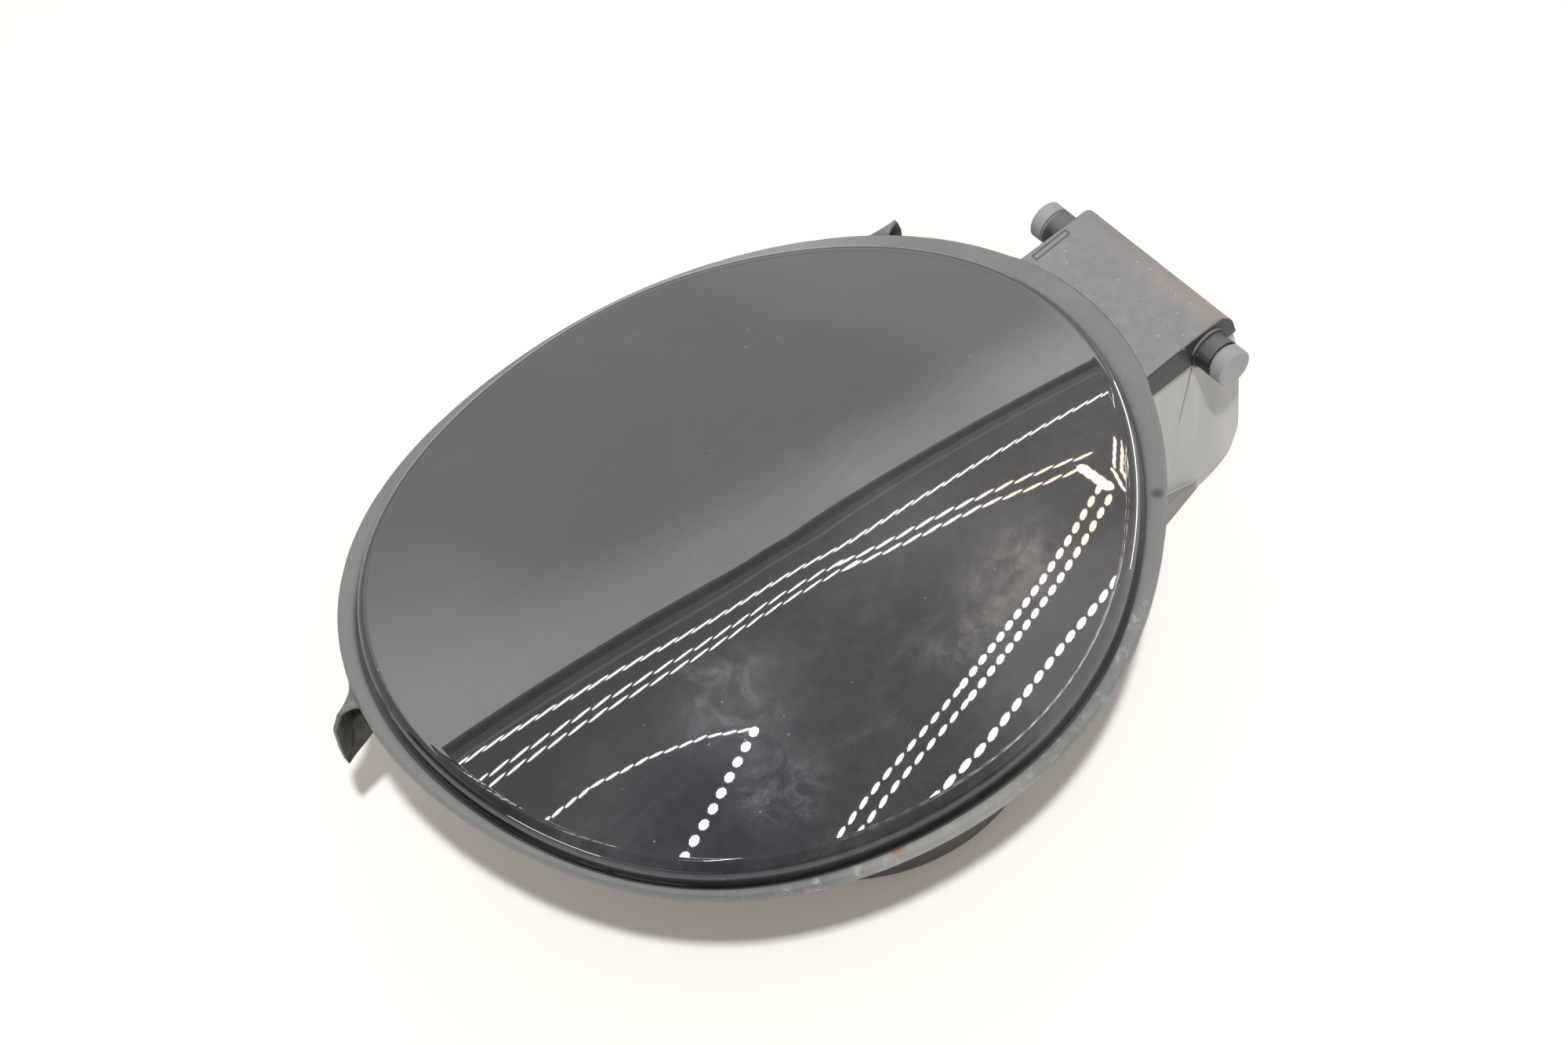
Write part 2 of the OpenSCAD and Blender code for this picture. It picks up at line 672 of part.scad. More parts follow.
// Soft lip with a skirt round the flange and two flared spouts
module seal_lip() {
    block = roof_w / 2 + part_clear;
    color([0.42, 0.42, 0.42]) difference() {
        at_flap() union() {
            sweep_round([
                [1, 0, -lip_gap, flange_top],
                [1, 0, -lip_gap, lip_top - 0.5],
                [1, 0, -lip_gap - 0.6, lip_top],
                [0.45, 0.55, 0, lip_top - 0.2],
                [0, 1, 0.7, lip_top - 0.8],
                [0, 1, 0, lip_top - 1.8],
                [0, 1, 0, flange_top - lip_skirt],
                [0, 1, lip_skirt_t, flange_top - lip_skirt],
                [0, 1, lip_skirt_t, flange_top]
            ]);
            spout(spout_at[0], 1);
            spout(spout_at[1], -1);
        }
        translate([hinge_x - 40, hinge_y - block, flange_bottom - 5])
            cube([80, 2 * block, 5 + flange_t]);
        at_flap() translate([0, 0, flange_bottom - part_clear])
            linear_extrude(flange_t + part_clear) polygon(lip_points(lip_skirt_t));
        at_flap() rotate(notch_at) translate([lip_edge(notch_at) - 0.8, -1.3, flange_top])
            cube([3, 2.6, lip_t + 1]);
    }
}

// One flared spout: the mouth faces along the edge, away from the drip channel
module spout(a, side) {
    b = a + side * spout_flare;
    difference() {
        hull() {
            rotate(a) translate([lip_edge(a), 0, 0]) leaf_slab(0, 0.8, side);
            rotate(b) translate([lip_edge(b) - 2.4, -0.25, lip_top - 3.4]) cube([1.8, 0.5, 2.4]);
        }
        rotate(a) translate([lip_edge(a), -side, 0]) leaf_slab(spout_wall, 5, side);
    }
}

// Leaf-shaped slab across the lip with its tip low on the outer side, drawn inwards by a wall
module leaf_slab(inset, depth, side) {
    w = spout_w;
    h = spout_h;
    top_r = w * 0.46;
    translate([-1.6, side > 0 ? depth : 0, lip_top]) rotate([90, 0, 0]) linear_extrude(depth)
        polygon(concat(
            arc([top_r, -top_r], top_r - inset, 180, 40, 7),
            [[w - inset, -0.3 * h], [w - inset, -0.66 * h], [w * 0.92 - inset / 2, -h + inset * 1.2],
             [w * 0.8, -h + inset * 1.2], [inset, -0.6 * h]]
        ));
}

// Steel pin through the housing, the spring and both eyes
module hinge_pin() {
    end = hinge_l / 2 - 1.4;
    color([0.72, 0.72, 0.72]) along_y(hinge_y - end, hinge_y + end, pin_r);
}

// Cap pressed on one end of the pin; side is -1 for near, 1 for far
module pin_cap(side) {
    tip = hinge_l / 2;
    color([0.33, 0.33, 0.33]) translate([0, hinge_y, 0]) mirror([0, side < 0 ? 1 : 0, 0])
        translate([0, -hinge_y, 0]) difference() {
            union() {
                translate([hinge_x, hinge_y + tip - cap_t, hinge_z]) rotate([-90, 0, 0])
                    rotate_extrude() polygon([
                        [0, 0], [boss_r, 0], [boss_r, cap_t - 0.4], [boss_r - 0.4, cap_t], [0, cap_t]
                    ]);
                along_y(hinge_y + boss_end, hinge_y + tip - cap_t + eps, boss_r - 0.8);
            }
            along_y(hinge_y + boss_end - 1, hinge_y + tip - 1.4, pin_r + run_clear);
        }
}

// A round wire through a list of points, as one closed tube
module wire(path, r, sides = 6) {
    n = len(path);
    function dir(i) =
        let (d = path[min(i + 1, n - 1)] - path[max(i - 1, 0)]) d / norm(d);
    rings = [
        for (i = [0:n - 1])
            let (t = dir(i), ref = abs(t[1]) > 0.9 ? [1, 0, 0] : [0, 1, 0],
                 s = cross(t, ref) / norm(cross(t, ref)), u = cross(s, t))
                [for (k = [0:sides - 1]) let (b = 360 * k / sides) path[i] + r * (cos(b) * s + sin(b) * u)]
    ];
    polyhedron(
        points = [for (q = rings) each q],
        faces = concat(
            [[for (k = [0:sides - 1]) k]],
            [for (j = [0:n - 2], k = [0:sides - 1]) let (p = j * sides, q = p + sides, m = (k + 1) % sides)
                [p + k, q + k, q + m, p + m]],
            [[for (k = [sides - 1:-1:0]) (n - 1) * sides + k]]
        )
    );
}

// Torsion spring round the pin, one leg on the roof and one on the arm
module hinge_spring() {
    r = pin_r + hinge_wire / 2 + 0.3;
    turns = hinge_coils;
    pitch = 0.56 * (arm_w - 2 * eye_w) / turns;
    per = 14;
    y0 = -turns * pitch / 2;
    coil = [
        for (i = [0:turns * per])
            let (a = 360 * i / per)
                [r * sin(a), y0 + pitch * i / per, r * cos(a)]
    ];
    color([0.5, 0.5, 0.5]) translate([hinge_x, hinge_y, hinge_z])
        wire(concat([[-12, y0, r]], coil), hinge_wire / 2);
}

// Rubber sleeve in the collar that grips the filler neck
module neck_seal() {
    color([0.08, 0.08, 0.08]) difference() {
        union() {
            cylinder(h = collar_h + 3, r = neck_hole_r - seat_clear);
            translate([0, 0, collar_h]) cylinder(h = 3, r = neck_hole_r + neck_rim);
        }
        translate([0, 0, -1]) cylinder(h = collar_h + 5, r = neck_bore_r);
    }
}

// Rubber drain spout pushed through the dish floor
module drain_spout() {
    color([0.08, 0.08, 0.08]) translate([0, 0, dish_floor]) drain_place() difference() {
        union() {
            translate([0, 0, wall]) cylinder(h = 1.2, r = drain_r + 1);
            translate([0, 0, -drain_l]) cylinder(h = drain_l + wall + eps, r = drain_r - 1 - 0.1);
            translate([0, 0, -2.2]) cylinder(h = 2, r = drain_r);
        }
        translate([0, 0, -drain_l - 1]) cylinder(h = drain_l + wall + 4, r = drain_r - 2.3);
    }
}

// Rubber stop pressed into the flange
module stop(a) {
    h = panel_bottom - flange_top - part_clear;
    color([0.07, 0.07, 0.07]) stop_place(a) {
        cylinder(h = h, r1 = stop_r, r2 = stop_r - 0.6);
        translate([0, 0, -flange_t - 1.5]) cylinder(h = flange_t + 1.5 + eps, r = stop_r / 2 - 0.1);
        translate([0, 0, -flange_t - 2.5]) cylinder(h = 2.3, r1 = stop_r / 2, r2 = stop_r / 2 + 0.7);
    }
}

// Spring steel clips that grip the edge of the body opening
module panel_clips() {
    gap = 0.1;
    inner = tab_r - gap;
    outer = tab_r + tab_t + gap;
    z1 = flange_bottom - 0.4;
    low = flange_bottom - tab_h - gap;
    mid = low + tab_h / 2;
    color([0.55, 0.56, 0.6]) at_flap() for (a = clip_at) rotate(a)
        translate([0, clip_w / 2, 0]) rotate([90, 0, 0]) linear_extrude(clip_w) polygon([
            [inner - clip_t, z1], [inner - clip_t, low - clip_t], [outer + clip_t, low - clip_t],
            [outer + 3.5 + clip_t, mid], [outer + clip_t, z1 - 0.6], [outer + 0.3, z1 - 1.2],
            [outer + 3.1, mid], [outer, low + clip_t], [outer, low], [inner, low], [inner, z1]
        ]);
}

// Guide on the dish for the lock pin, open at its outer end
module lock_case() {
    w = lock_case_w;
    skin = wall + run_clear;
    color([0.15, 0.15, 0.16]) difference() {
        translate([lock_x0, lock_y - w / 2, lock_z - w / 2])
            cube([lock_case_l + wall + 1, w, w - part_clear]);
        at_flap() translate([0, 0, dish_floor])
            cylinder(h = flange_bottom - dish_floor, r1 = dish_r + skin, r2 = mouth_r + skin);
        along_lock(lock_x0 - 1, lock_x0 + lock_case_l - lock_end_t, lock_bore_r);
        along_lock(lock_x0 - 1, lock_x0 + 2 * lock_case_l, lock_r + run_clear);
        lock_screw_places() along_x(-1, 7, 0.9);
    }
}

module along_x(x0, x1, r) {
    translate([x0, 0, 0]) rotate([0, 90, 0]) cylinder(h = x1 - x0, r = r);
}

// Round bar or bore on the lock pin's axis between two X values
module along_lock(x0, x1, r) {
    translate([0, lock_y, lock_z]) along_x(x0, x1, r);
}

module lock_screw_places() {
    out = lock_case_w / 2 - 1.6;
    for (s = [-1, 1]) translate([lock_x0, lock_y + s * out, lock_z + s * out]) children();
}

// Plate that closes the lock case
module lock_cover() {
    w = lock_case_w;
    color([0.15, 0.15, 0.16]) difference() {
        translate([lock_x0 - lock_cover_t, lock_y - w / 2, lock_z - w / 2])
            cube([lock_cover_t, w, w - part_clear]);
        along_lock(lock_x0 - 2 * lock_cover_t, lock_x0 + 1, lock_r + run_clear);
        lock_screw_places() along_x(-2 * lock_cover_t, 1, 0.95);
    }
}

module lock_screws() {
    color([0.6, 0.6, 0.6]) lock_screw_places() {
        along_x(-lock_cover_t, 5.4, 0.85);
        along_x(-lock_cover_t - 1, -lock_cover_t, 1.5);
    }
}

// Sliding bolt with a collar for its return spring
module lock_pin() {
    tip = lock_face + wall;
    tail = lock_x0 - 3;
    color([0.75, 0.74, 0.7]) {
        along_lock(tail, tip - 1, lock_r);
        translate([tip - 1, lock_y, lock_z]) rotate([0, 90, 0])
            cylinder(h = 1, r1 = lock_r, r2 = lock_r - 0.6);
        along_lock(lock_x0 + seat_clear, lock_x0 + seat_clear + collar_t, lock_bore_r - part_clear);
    }
}

// Return spring between the pin's collar and the end of the guide
module lock_spring() {
    r = lock_r + 1.2;
    x0 = lock_x0 + collar_t + 2 * seat_clear + lock_wire / 2;
    x1 = lock_face - lock_end_t - seat_clear - lock_wire / 2;
    per = 12;
    color([0.6, 0.6, 0.62]) translate([0, lock_y, lock_z]) wire([
        for (i = [0:lock_coils * per])
            let (a = 360 * i / per)
                [x0 + (x1 - x0) * i / (lock_coils * per), r * cos(a), r * sin(a)]
    ], lock_wire / 2);
}

door_skin();
inner_panel();
hinge_arm();
arm_screws();
arm_bush(-1);  // arm_bush_near
arm_bush(1);  // arm_bush_far
cap_holder();
striker();
housing();
seal_lip();
hinge_pin();
pin_cap(-1);  // pin_cap_near
pin_cap(1);  // pin_cap_far
hinge_spring();
neck_seal();
drain_spout();
stop(stop_at[1]);  // stop_near
stop(stop_at[0]);  // stop_far
panel_clips();
lock_case();
lock_cover();
lock_pin();
lock_spring();
lock_screws();
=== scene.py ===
"""Looks of a car fuel door: gloss flap, soft seal lip, grey housing, gooseneck hinge and lock."""
import bmesh
import bpy
import json
import math
from mathutils import Matrix, Vector


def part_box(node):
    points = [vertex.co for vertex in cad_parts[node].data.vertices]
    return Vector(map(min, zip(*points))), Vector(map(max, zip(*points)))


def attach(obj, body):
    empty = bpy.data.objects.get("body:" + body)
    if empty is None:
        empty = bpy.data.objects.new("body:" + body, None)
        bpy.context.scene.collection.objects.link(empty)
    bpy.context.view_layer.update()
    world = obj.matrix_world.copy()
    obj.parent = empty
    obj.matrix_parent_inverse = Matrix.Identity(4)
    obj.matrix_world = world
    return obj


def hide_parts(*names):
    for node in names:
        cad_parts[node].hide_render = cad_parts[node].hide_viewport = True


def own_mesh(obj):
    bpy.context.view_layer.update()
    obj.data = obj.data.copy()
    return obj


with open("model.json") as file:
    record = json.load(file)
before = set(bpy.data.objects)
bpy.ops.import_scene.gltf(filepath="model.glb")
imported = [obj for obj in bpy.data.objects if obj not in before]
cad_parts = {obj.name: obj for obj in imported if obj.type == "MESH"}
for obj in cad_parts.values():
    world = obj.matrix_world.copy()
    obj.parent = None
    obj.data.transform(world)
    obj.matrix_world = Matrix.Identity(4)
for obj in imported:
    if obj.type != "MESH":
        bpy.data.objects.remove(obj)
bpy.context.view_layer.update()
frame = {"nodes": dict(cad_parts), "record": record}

MM = 0.001

# Sizes of the flap, the seal lip, the spouts, the hinge and the lock, in millimetres and
# degrees, as in the part's source
FLAP_MIDDLE = Vector((-7.8, 14.4, 0))
FLAP_R, FLAP_STRETCH, FLAP_TURN = 86.3, 5.7, -4.5
FLAP_EGG, EGG_TURN, FLAP_FIVE = 2.2, 14.5, 0.8
LIP_W, LIP_SHIFT, SHIFT_TURN, LIP_STRETCH, LIP_WAVE = 4.6, 2.1, 25, 1.2, 0.9
LIP_GAP, LIP_T, LIP_SKIRT, SKIRT_T = 0.9, 2.2, 1.6, 1.2
FLAP_TOP, CROWN, FLAP_SIDE, SKIN_T, ROLL_R = 68, 3.5, 6.5, 1.6, 3
SPOUT_AT, SPOUT_W, SPOUT_H, SPOUT_FLARE = (30.8, 160.4), 8.8, 20.5, 4.5
HINGE = Vector((108.3, 13, 55.1))
HINGE_WIRE, HINGE_COILS, LOCK_WIRE, LOCK_COILS, LOCK_TRAVEL = 1, 7, 0.7, 4, 7
PIN_R, LOCK_R, ROOF_W = 3, 2.5, 46.4

SKIN_BOTTOM = FLAP_TOP - FLAP_SIDE
FLANGE_TOP = SKIN_BOTTOM - 1
LIP_TOP = FLANGE_TOP + LIP_T
SEGMENTS = 288


def cosd(angle):
    return math.cos(math.radians(angle))


def sind(angle):
    return math.sin(math.radians(angle))


def flap_edge(turn):
    """Radius of the flap's outline at an angle."""
    return (FLAP_R + FLAP_STRETCH * cosd(2 * (turn - FLAP_TURN))
            + FLAP_EGG * cosd(3 * (turn - EGG_TURN)) + FLAP_FIVE * cosd(5 * (turn - 3)))


def lip_edge(turn):
    """Radius of the seal lip's outer edge at an angle."""
    return (flap_edge(turn) + LIP_W + LIP_SHIFT * cosd(turn - SHIFT_TURN)
            + LIP_STRETCH * cosd(2 * (turn + 15)) + LIP_WAVE * cosd(3 * (turn - EGG_TURN)))


# ---- Finishes -------------------------------------------------------------------------------


class Signal:
    """A shader socket that can be used in Python expressions."""

    def __init__(self, tree, socket):
        self.tree = tree
        self.socket = socket

    def node(self, kind, settings=None, values=None, out=0):
        """Adds a node, sets its settings and sockets, and returns one of its outputs."""
        made = self.tree.nodes.new(kind)
        for name, value in (settings or {}).items():
            if name == "stops":
                ramp = made.color_ramp.elements
                while len(ramp) < len(value):
                    ramp.new(0.5)
                for element, (position, colour) in zip(ramp, value):
                    element.position = position
                    element.color = (*colour, 1)
            else:
                setattr(made, name, value)
        for name, value in (values or {}).items():
            if isinstance(value, Signal):
                self.tree.links.new(value.socket, made.inputs[name])
            else:
                made.inputs[name].default_value = value
        return Signal(self.tree, made.outputs[out])

    def maths(self, operation, a, b):
        return self.node("ShaderNodeMath", {"operation": operation}, {0: a, 1: b})

    def __add__(self, other):
        return self.maths("ADD", self, other)

    __radd__ = __add__

    def __sub__(self, other):
        return self.maths("SUBTRACT", self, other)

    def __rsub__(self, other):
        return self.maths("SUBTRACT", other, self)

    def __mul__(self, other):
        return self.maths("MULTIPLY", self, other)

    __rmul__ = __mul__

    def ramp(self, low, high):
        """0 below low and 1 above high, smooth between; turned round where low is above high."""
        start, end, first, last = (low, high, 0, 1) if low < high else (high, low, 1, 0)
        return self.node("ShaderNodeMapRange", {"interpolation_type": "SMOOTHSTEP"},
                         {"Value": self, "From Min": start, "From Max": end,
                          "To Min": first, "To Max": last})

    def noise(self, scale, detail=4, rough=0.55, warp=0):
        """Cloudy noise over a position; scale is in patches to a metre."""
        return self.node("ShaderNodeTexNoise", None,
                         {"Vector": self, "Scale": scale, "Detail": detail,
                          "Roughness": rough, "Distortion": warp})

    def specks(self, scale, size, scatter=1):
        """Small round dots scattered over a position, 1 inside a dot."""
        far = self.node("ShaderNodeTexVoronoi", {"feature": "F1"},
                        {"Vector": self, "Scale": scale, "Randomness": scatter}, "Distance")
        return far.ramp(size, size * 0.4)

    def stretched(self, along, turn=(0, 0, 0)):
        """The position squeezed along each axis, for a pattern with a direction."""
        return self.node("ShaderNodeMapping", None,
                         {"Vector": self, "Scale": along, "Rotation": turn})

    def near(self, point, reach, soft=0.5):
        """1 at a point given in millimetres and 0 beyond its reach."""
        far = self.node("ShaderNodeVectorMath", {"operation": "DISTANCE"},
                        {0: self, 1: Vector(point) * MM}, "Value")
        return far.ramp(reach * MM, reach * MM * soft)

    def patches(self, rows, soft=0.1):
        """Soft patches added up, each given by its place, its reach and its strength."""
        return sum(self.near(point, reach, soft) * strength for point, reach, strength in rows)

    def part(self, name):
        """One part of a vector, by the letter of its axis."""
        return self.node("ShaderNodeSeparateXYZ", None, {"Vector": self}, name)

    def axis(self, name):
        """One coordinate of a position, in millimetres."""
        return self.part(name) * (1 / MM)

    def tint(self, first, second):
        """Colour that goes from the first to the second as this value goes from 0 to 1."""
        return self.node("ShaderNodeMix", {"data_type": "RGBA", "clamp_factor": True},
                         {0: self, 6: full(first), 7: full(second)}, 2)

    def bump(self, depth, strength=1.0, under=None):
        """A bump whose height is this value, with its depth in millimetres."""
        values = {"Height": self, "Strength": strength, "Distance": depth * MM}
        if under:
            values["Normal"] = under
        return self.node("ShaderNodeBump", None, values)


def full(colour):
    return colour if isinstance(colour, Signal) else (*colour, 1)


class Finish:
    """A material with its shader and the position on the piece that its patterns read."""

    def __init__(self, name, **constants):
        self.material = bpy.data.materials.new(name)
        self.material.use_nodes = True
        tree = self.material.node_tree
        self.shader = tree.nodes["Principled BSDF"]
        where = tree.nodes.new("ShaderNodeTexCoord").outputs
        self.place = Signal(tree, where["Object"])
        self.facing = Signal(tree, where["Normal"])
        for socket, value in constants.items():
            self.shader.inputs[socket.replace("_", " ")].default_value = value

    def feed(self, **signals):
        for socket, signal in signals.items():
            self.place.tree.links.new(signal.socket, self.shader.inputs[socket.replace("_", " ")])
        return self.material


def rounded(place, reach):
    """Normal of an edge worn round, with its radius in millimetres."""
    return place.node("ShaderNodeBevel", {"samples": 4}, {"Radius": reach * MM})


def gloss_black():
    """Black paint under clear coat, with haze, smears, tan and pale clouds, dust and grains;
    painted light in the haze and a painted blue reflection at the lower left.
    """
    finish = Finish("gloss_black", Coat_Weight=1.0, Coat_Roughness=0.01, Coat_IOR=1.5,
                    Specular_IOR_Level=0.15)
    place = finish.place
    haze = place.noise(15, 5, 0.6, 0.5).ramp(0.4, 0.72)
    smears = place.stretched((14, 44, 20), (0, 0, math.radians(28))).noise(1, 6, 0.66, 1.6)
    smears = smears.ramp(0.5, 0.78)
    fingers = place.noise(60, 6, 0.7, 2.2).ramp(0.5, 0.8)
    worn = place.patches([((14, -26, 70), 34, 1), ((-60, -12, 70), 30, 0.8)])
    near_half = (place.axis("Y") - place.axis("X") * 0.12).ramp(14, -14)
    film = haze * 0.35 + smears * 0.35 + worn * (smears * 0.4 + fingers * 0.4)
    # Painted light: patches where the haze film on the near half is made lighter, as if lit.
    painted_light = place.near((26, -56, 70), 44, 0.1)
    painted_light = painted_light + place.patches([((10, 0, 71), 38, 0.4), ((-40, -16, 71), 26, 0.5)], 0.2)
    wiped = place.patches([((36, -22, 71), 13, 1), ((22, -31, 71), 13, 1)])
    mottled = place.noise(320, 4, 0.65).ramp(0.3, 0.7) * 0.18
    blotches = place.noise(75, 6, 0.7, 1.4).ramp(0.38, 0.66)
    blotches = blotches * (0.45 + place.noise(420, 5, 0.7).ramp(0.35, 0.68) * 0.55)
    tan = place.patches([((21, -34.5, 70), 17, 1), ((33, -31, 70), 13, 1), ((7, -40, 70), 13, 0.8)])
    pale = place.patches([((-42, -14, 70), 19, 1), ((-48, -38, 69), 15, 1), ((1, -35, 70), 9, 0.8)])
    film = film * (0.5 + near_half * 0.5) + near_half * (
        0.2 + mottled + wiped * 0.3 + painted_light * (0.6 + haze * 0.6))
    dust = place.specks(900, 0.14) * place.noise(26, 3).ramp(0.5, 0.66)
    grit = place.specks(150, 0.03)
    blue = place.specks(190, 0.07) * place.near((-56, -28, 69), 26, 0.8)
    colour = film.tint((0.012, 0.012, 0.013), (0.085, 0.083, 0.088))
    # Painted reflection: a bluish tint over the lower left of the flap.
    painted_blue_reflection = place.near((-62, -34, 69), 30, 0.2)
    colour = (painted_blue_reflection * 0.6).tint(colour, (0.013, 0.016, 0.026))
    colour = (tan * blotches * 0.85).tint(colour, (0.2, 0.18, 0.165))
    colour = (pale * blotches * 0.85).tint(colour, (0.18, 0.18, 0.195))
    colour = (dust * 0.45).tint(colour, (0.2, 0.19, 0.18))
    colour = (grit * 0.85).tint(colour, (0.5, 0.49, 0.47))
    colour = (blue * 0.9).tint(colour, (0.06, 0.36, 0.36))
    return finish.feed(Base_Color=colour, Roughness=0.3 + film * 0.3 + dust * 0.2,
                       Normal=grit.bump(0.02, 0.3))


def seal_rubber():
    """Soft grey lip: dusty, paler at far and near right, scuffed, with rust and a dark spot, and
    painted shade on its lower edges.
    """
    finish = Finish("seal_rubber", Specular_IOR_Level=0.3, Sheen_Weight=0.2,
                    Sheen_Roughness=0.5)
    place = finish.place
    z = place.axis("Z")
    cloud = place.noise(38, 6, 0.62, 0.4).ramp(0.3, 0.75)
    grime = place.noise(120, 5, 0.7, 0.8).ramp(0.55, 0.78)
    scuff = place.noise(210, 6, 0.75, 0.6).ramp(0.5, 0.72)
    pale = place.specks(420, 0.13) * place.noise(60, 3).ramp(0.45, 0.62)
    colour = cloud.tint((0.18, 0.183, 0.18), (0.228, 0.228, 0.222))
    far_side = place.near((48, 98, 62), 52, 0.4)
    colour = (far_side * 0.75).tint(colour, (0.33, 0.33, 0.33))
    # Painted shade: the lip is darker below its flat top, over the rolled inner edge, the bent-down
    # outer edge and the skirt.
    low = z.ramp(LIP_TOP - 0.5, LIP_TOP - 1.2)
    colour = (low * 0.6).tint(colour, (0.09, 0.089, 0.087))
    colour = (grime * 0.35).tint(colour, (0.11, 0.108, 0.1))
    near_side = place.near((-10, -120, 62), 105, 0.7)
    colour = (scuff * near_side * 0.75).tint(colour, (0.5, 0.49, 0.46))
    colour = (pale * 0.5).tint(colour, (0.45, 0.44, 0.42))
    near_right = place.near((-26, -68, 61), 34, 0.3)
    colour = (near_right * 0.6).tint(colour, (0.34, 0.335, 0.315))
    rust = place.near((-37.2, -63.2, 61.5), 3.2) * place.noise(300, 5, 0.7).ramp(0.3, 0.45)
    colour = (rust * 0.8).tint(colour, (0.28, 0.11, 0.045))
    dark_spot = place.near((67, -36, 61.5), 2.4, 0.4)
    colour = (dark_spot * 0.8).tint(colour, (0.03, 0.03, 0.03))
    grain = place.noise(1500, 3).bump(0.03, 0.35)
    return finish.feed(Base_Color=colour, Roughness=0.62 + cloud * 0.12 - grime * 0.1,
                       Normal=(cloud + grime * 0.5 + scuff * 0.4).bump(0.1, 0.35, grain))


def spout_inside_painted_shade():
    """Inside of a drip spout, painted dark as shade, with grime."""
    finish = Finish("spout_inside_painted_shade", Specular_IOR_Level=0.25)
    place = finish.place
    dirt = place.noise(200, 5, 0.65, 0.6).ramp(0.35, 0.7)
    colour = dirt.tint((0.04, 0.039, 0.034), (0.085, 0.082, 0.068))
    pale = place.specks(500, 0.1)
    colour = (pale * 0.4).tint(colour, (0.28, 0.27, 0.25))
    return finish.feed(Base_Color=colour, Roughness=0.55 + dirt * 0.25,
                       Normal=dirt.bump(0.1, 0.5))


def housing_plastic():
    """Dark grey moulding under pale dust: dusty roof, brownish outer edge, pale near wall, a worn
    near edge with a painted highlight, and painted shade on the bosses and the low web.
    """
    finish = Finish("housing_plastic", Specular_IOR_Level=0.42)
    place = finish.place
    x, y, z = (place.axis(name) for name in "XYZ")
    up = finish.facing.part("Z")
    near_side = y.ramp(HINGE.y - ROOF_W / 2 + 3, HINGE.y - ROOF_W / 2 + 1)
    cloud = place.noise(26, 5, 0.6, 0.3).ramp(0.3, 0.72)
    fine = place.noise(260, 5, 0.7).ramp(0.4, 0.75)
    colour = cloud.tint((0.075, 0.073, 0.074), (0.105, 0.102, 0.102))
    on_roof = x.ramp(70, 76) * z.ramp(HINGE.z - 4, HINGE.z + 1)
    stub = y.ramp(HINGE.y - ROOF_W / 2 - 0.2, HINGE.y - ROOF_W / 2 - 0.6)
    stub = stub + y.ramp(HINGE.y + ROOF_W / 2 + 0.2, HINGE.y + ROOF_W / 2 + 0.6)
    dust = up.ramp(0.2, 0.85) * (0.86 + cloud * 0.1) * (1 - stub * 0.8)
    colour = (dust * (0.35 + on_roof * 0.65)).tint(
        colour, fine.tint((0.24, 0.235, 0.24), (0.285, 0.28, 0.282)))
    band = near_side * up.ramp(0.6, 0.3) * z.ramp(HINGE.z - 3.2, HINGE.z - 2.6) * x.ramp(70, 76)
    colour = (band * 0.9).tint(colour, (0.03, 0.029, 0.031))
    brown = x.ramp(HINGE.x - 2, HINGE.x + 3.5) * up.ramp(0.1, 0.5)
    brown = brown * y.ramp(HINGE.y + ROOF_W / 2, HINGE.y - ROOF_W / 4) * (1 - stub)
    rusty = brown * place.noise(70, 5, 0.65, 0.6).ramp(0.45, 0.68)
    colour = (brown * 0.75).tint(colour, (0.31, 0.26, 0.23))
    colour = (rusty * 0.7).tint(colour, (0.4, 0.3, 0.23))
    # Worn edge and painted highlight: the near edge between the roof and the side band is lighter
    # where its fillet faces half up.
    rim = up.ramp(0.25, 0.5) * up.ramp(0.86, 0.66) * near_side * x.ramp(HINGE.x + 2, HINGE.x)
    colour = (rim * on_roof * 0.5).tint(colour, (0.36, 0.352, 0.34))
    # Painted shade: the hinge bosses are dark except where they face straight up.
    painted_shade_boss = stub * up.ramp(0.98, 0.55)
    colour = (painted_shade_boss * 0.8).tint(colour, (0.02, 0.02, 0.02))
    specks = place.specks(430, 0.13) * place.noise(85, 3).ramp(0.38, 0.6)
    colour = (specks * 0.8).tint(colour, (0.6, 0.59, 0.57))
    wall = near_side * x.ramp(66, 72) * z.ramp(HINGE.z - 2.4, HINGE.z - 3.2)
    streaks = place.stretched((90, 90, 16)).noise(1, 5, 0.6, 0.5).ramp(0.35, 0.7)
    colour = (wall * 0.92).tint(colour, streaks.tint((0.49, 0.481, 0.46), (0.6, 0.588, 0.562)))
    # Painted shade: the web low on the near side, beyond the wall, is darker, as in the lip's
    # shadow.
    low = near_side * y.ramp(-8.9, -9.4) * z.ramp(24, 18)
    colour = (low * 0.8).tint(colour, (0.17, 0.166, 0.156))
    pot = x.ramp(66, 56)
    colour = (pot * 0.85).tint(colour, cloud.tint((0.05, 0.046, 0.042), (0.085, 0.078, 0.07)))
    grain = place.noise(1900, 2).bump(0.02, 0.5, rounded(place, 0.35))
    return finish.feed(Base_Color=colour, Roughness=0.46 + dust * 0.16 + specks * 0.2,
                       Normal=specks.bump(0.02, 0.4, grain))


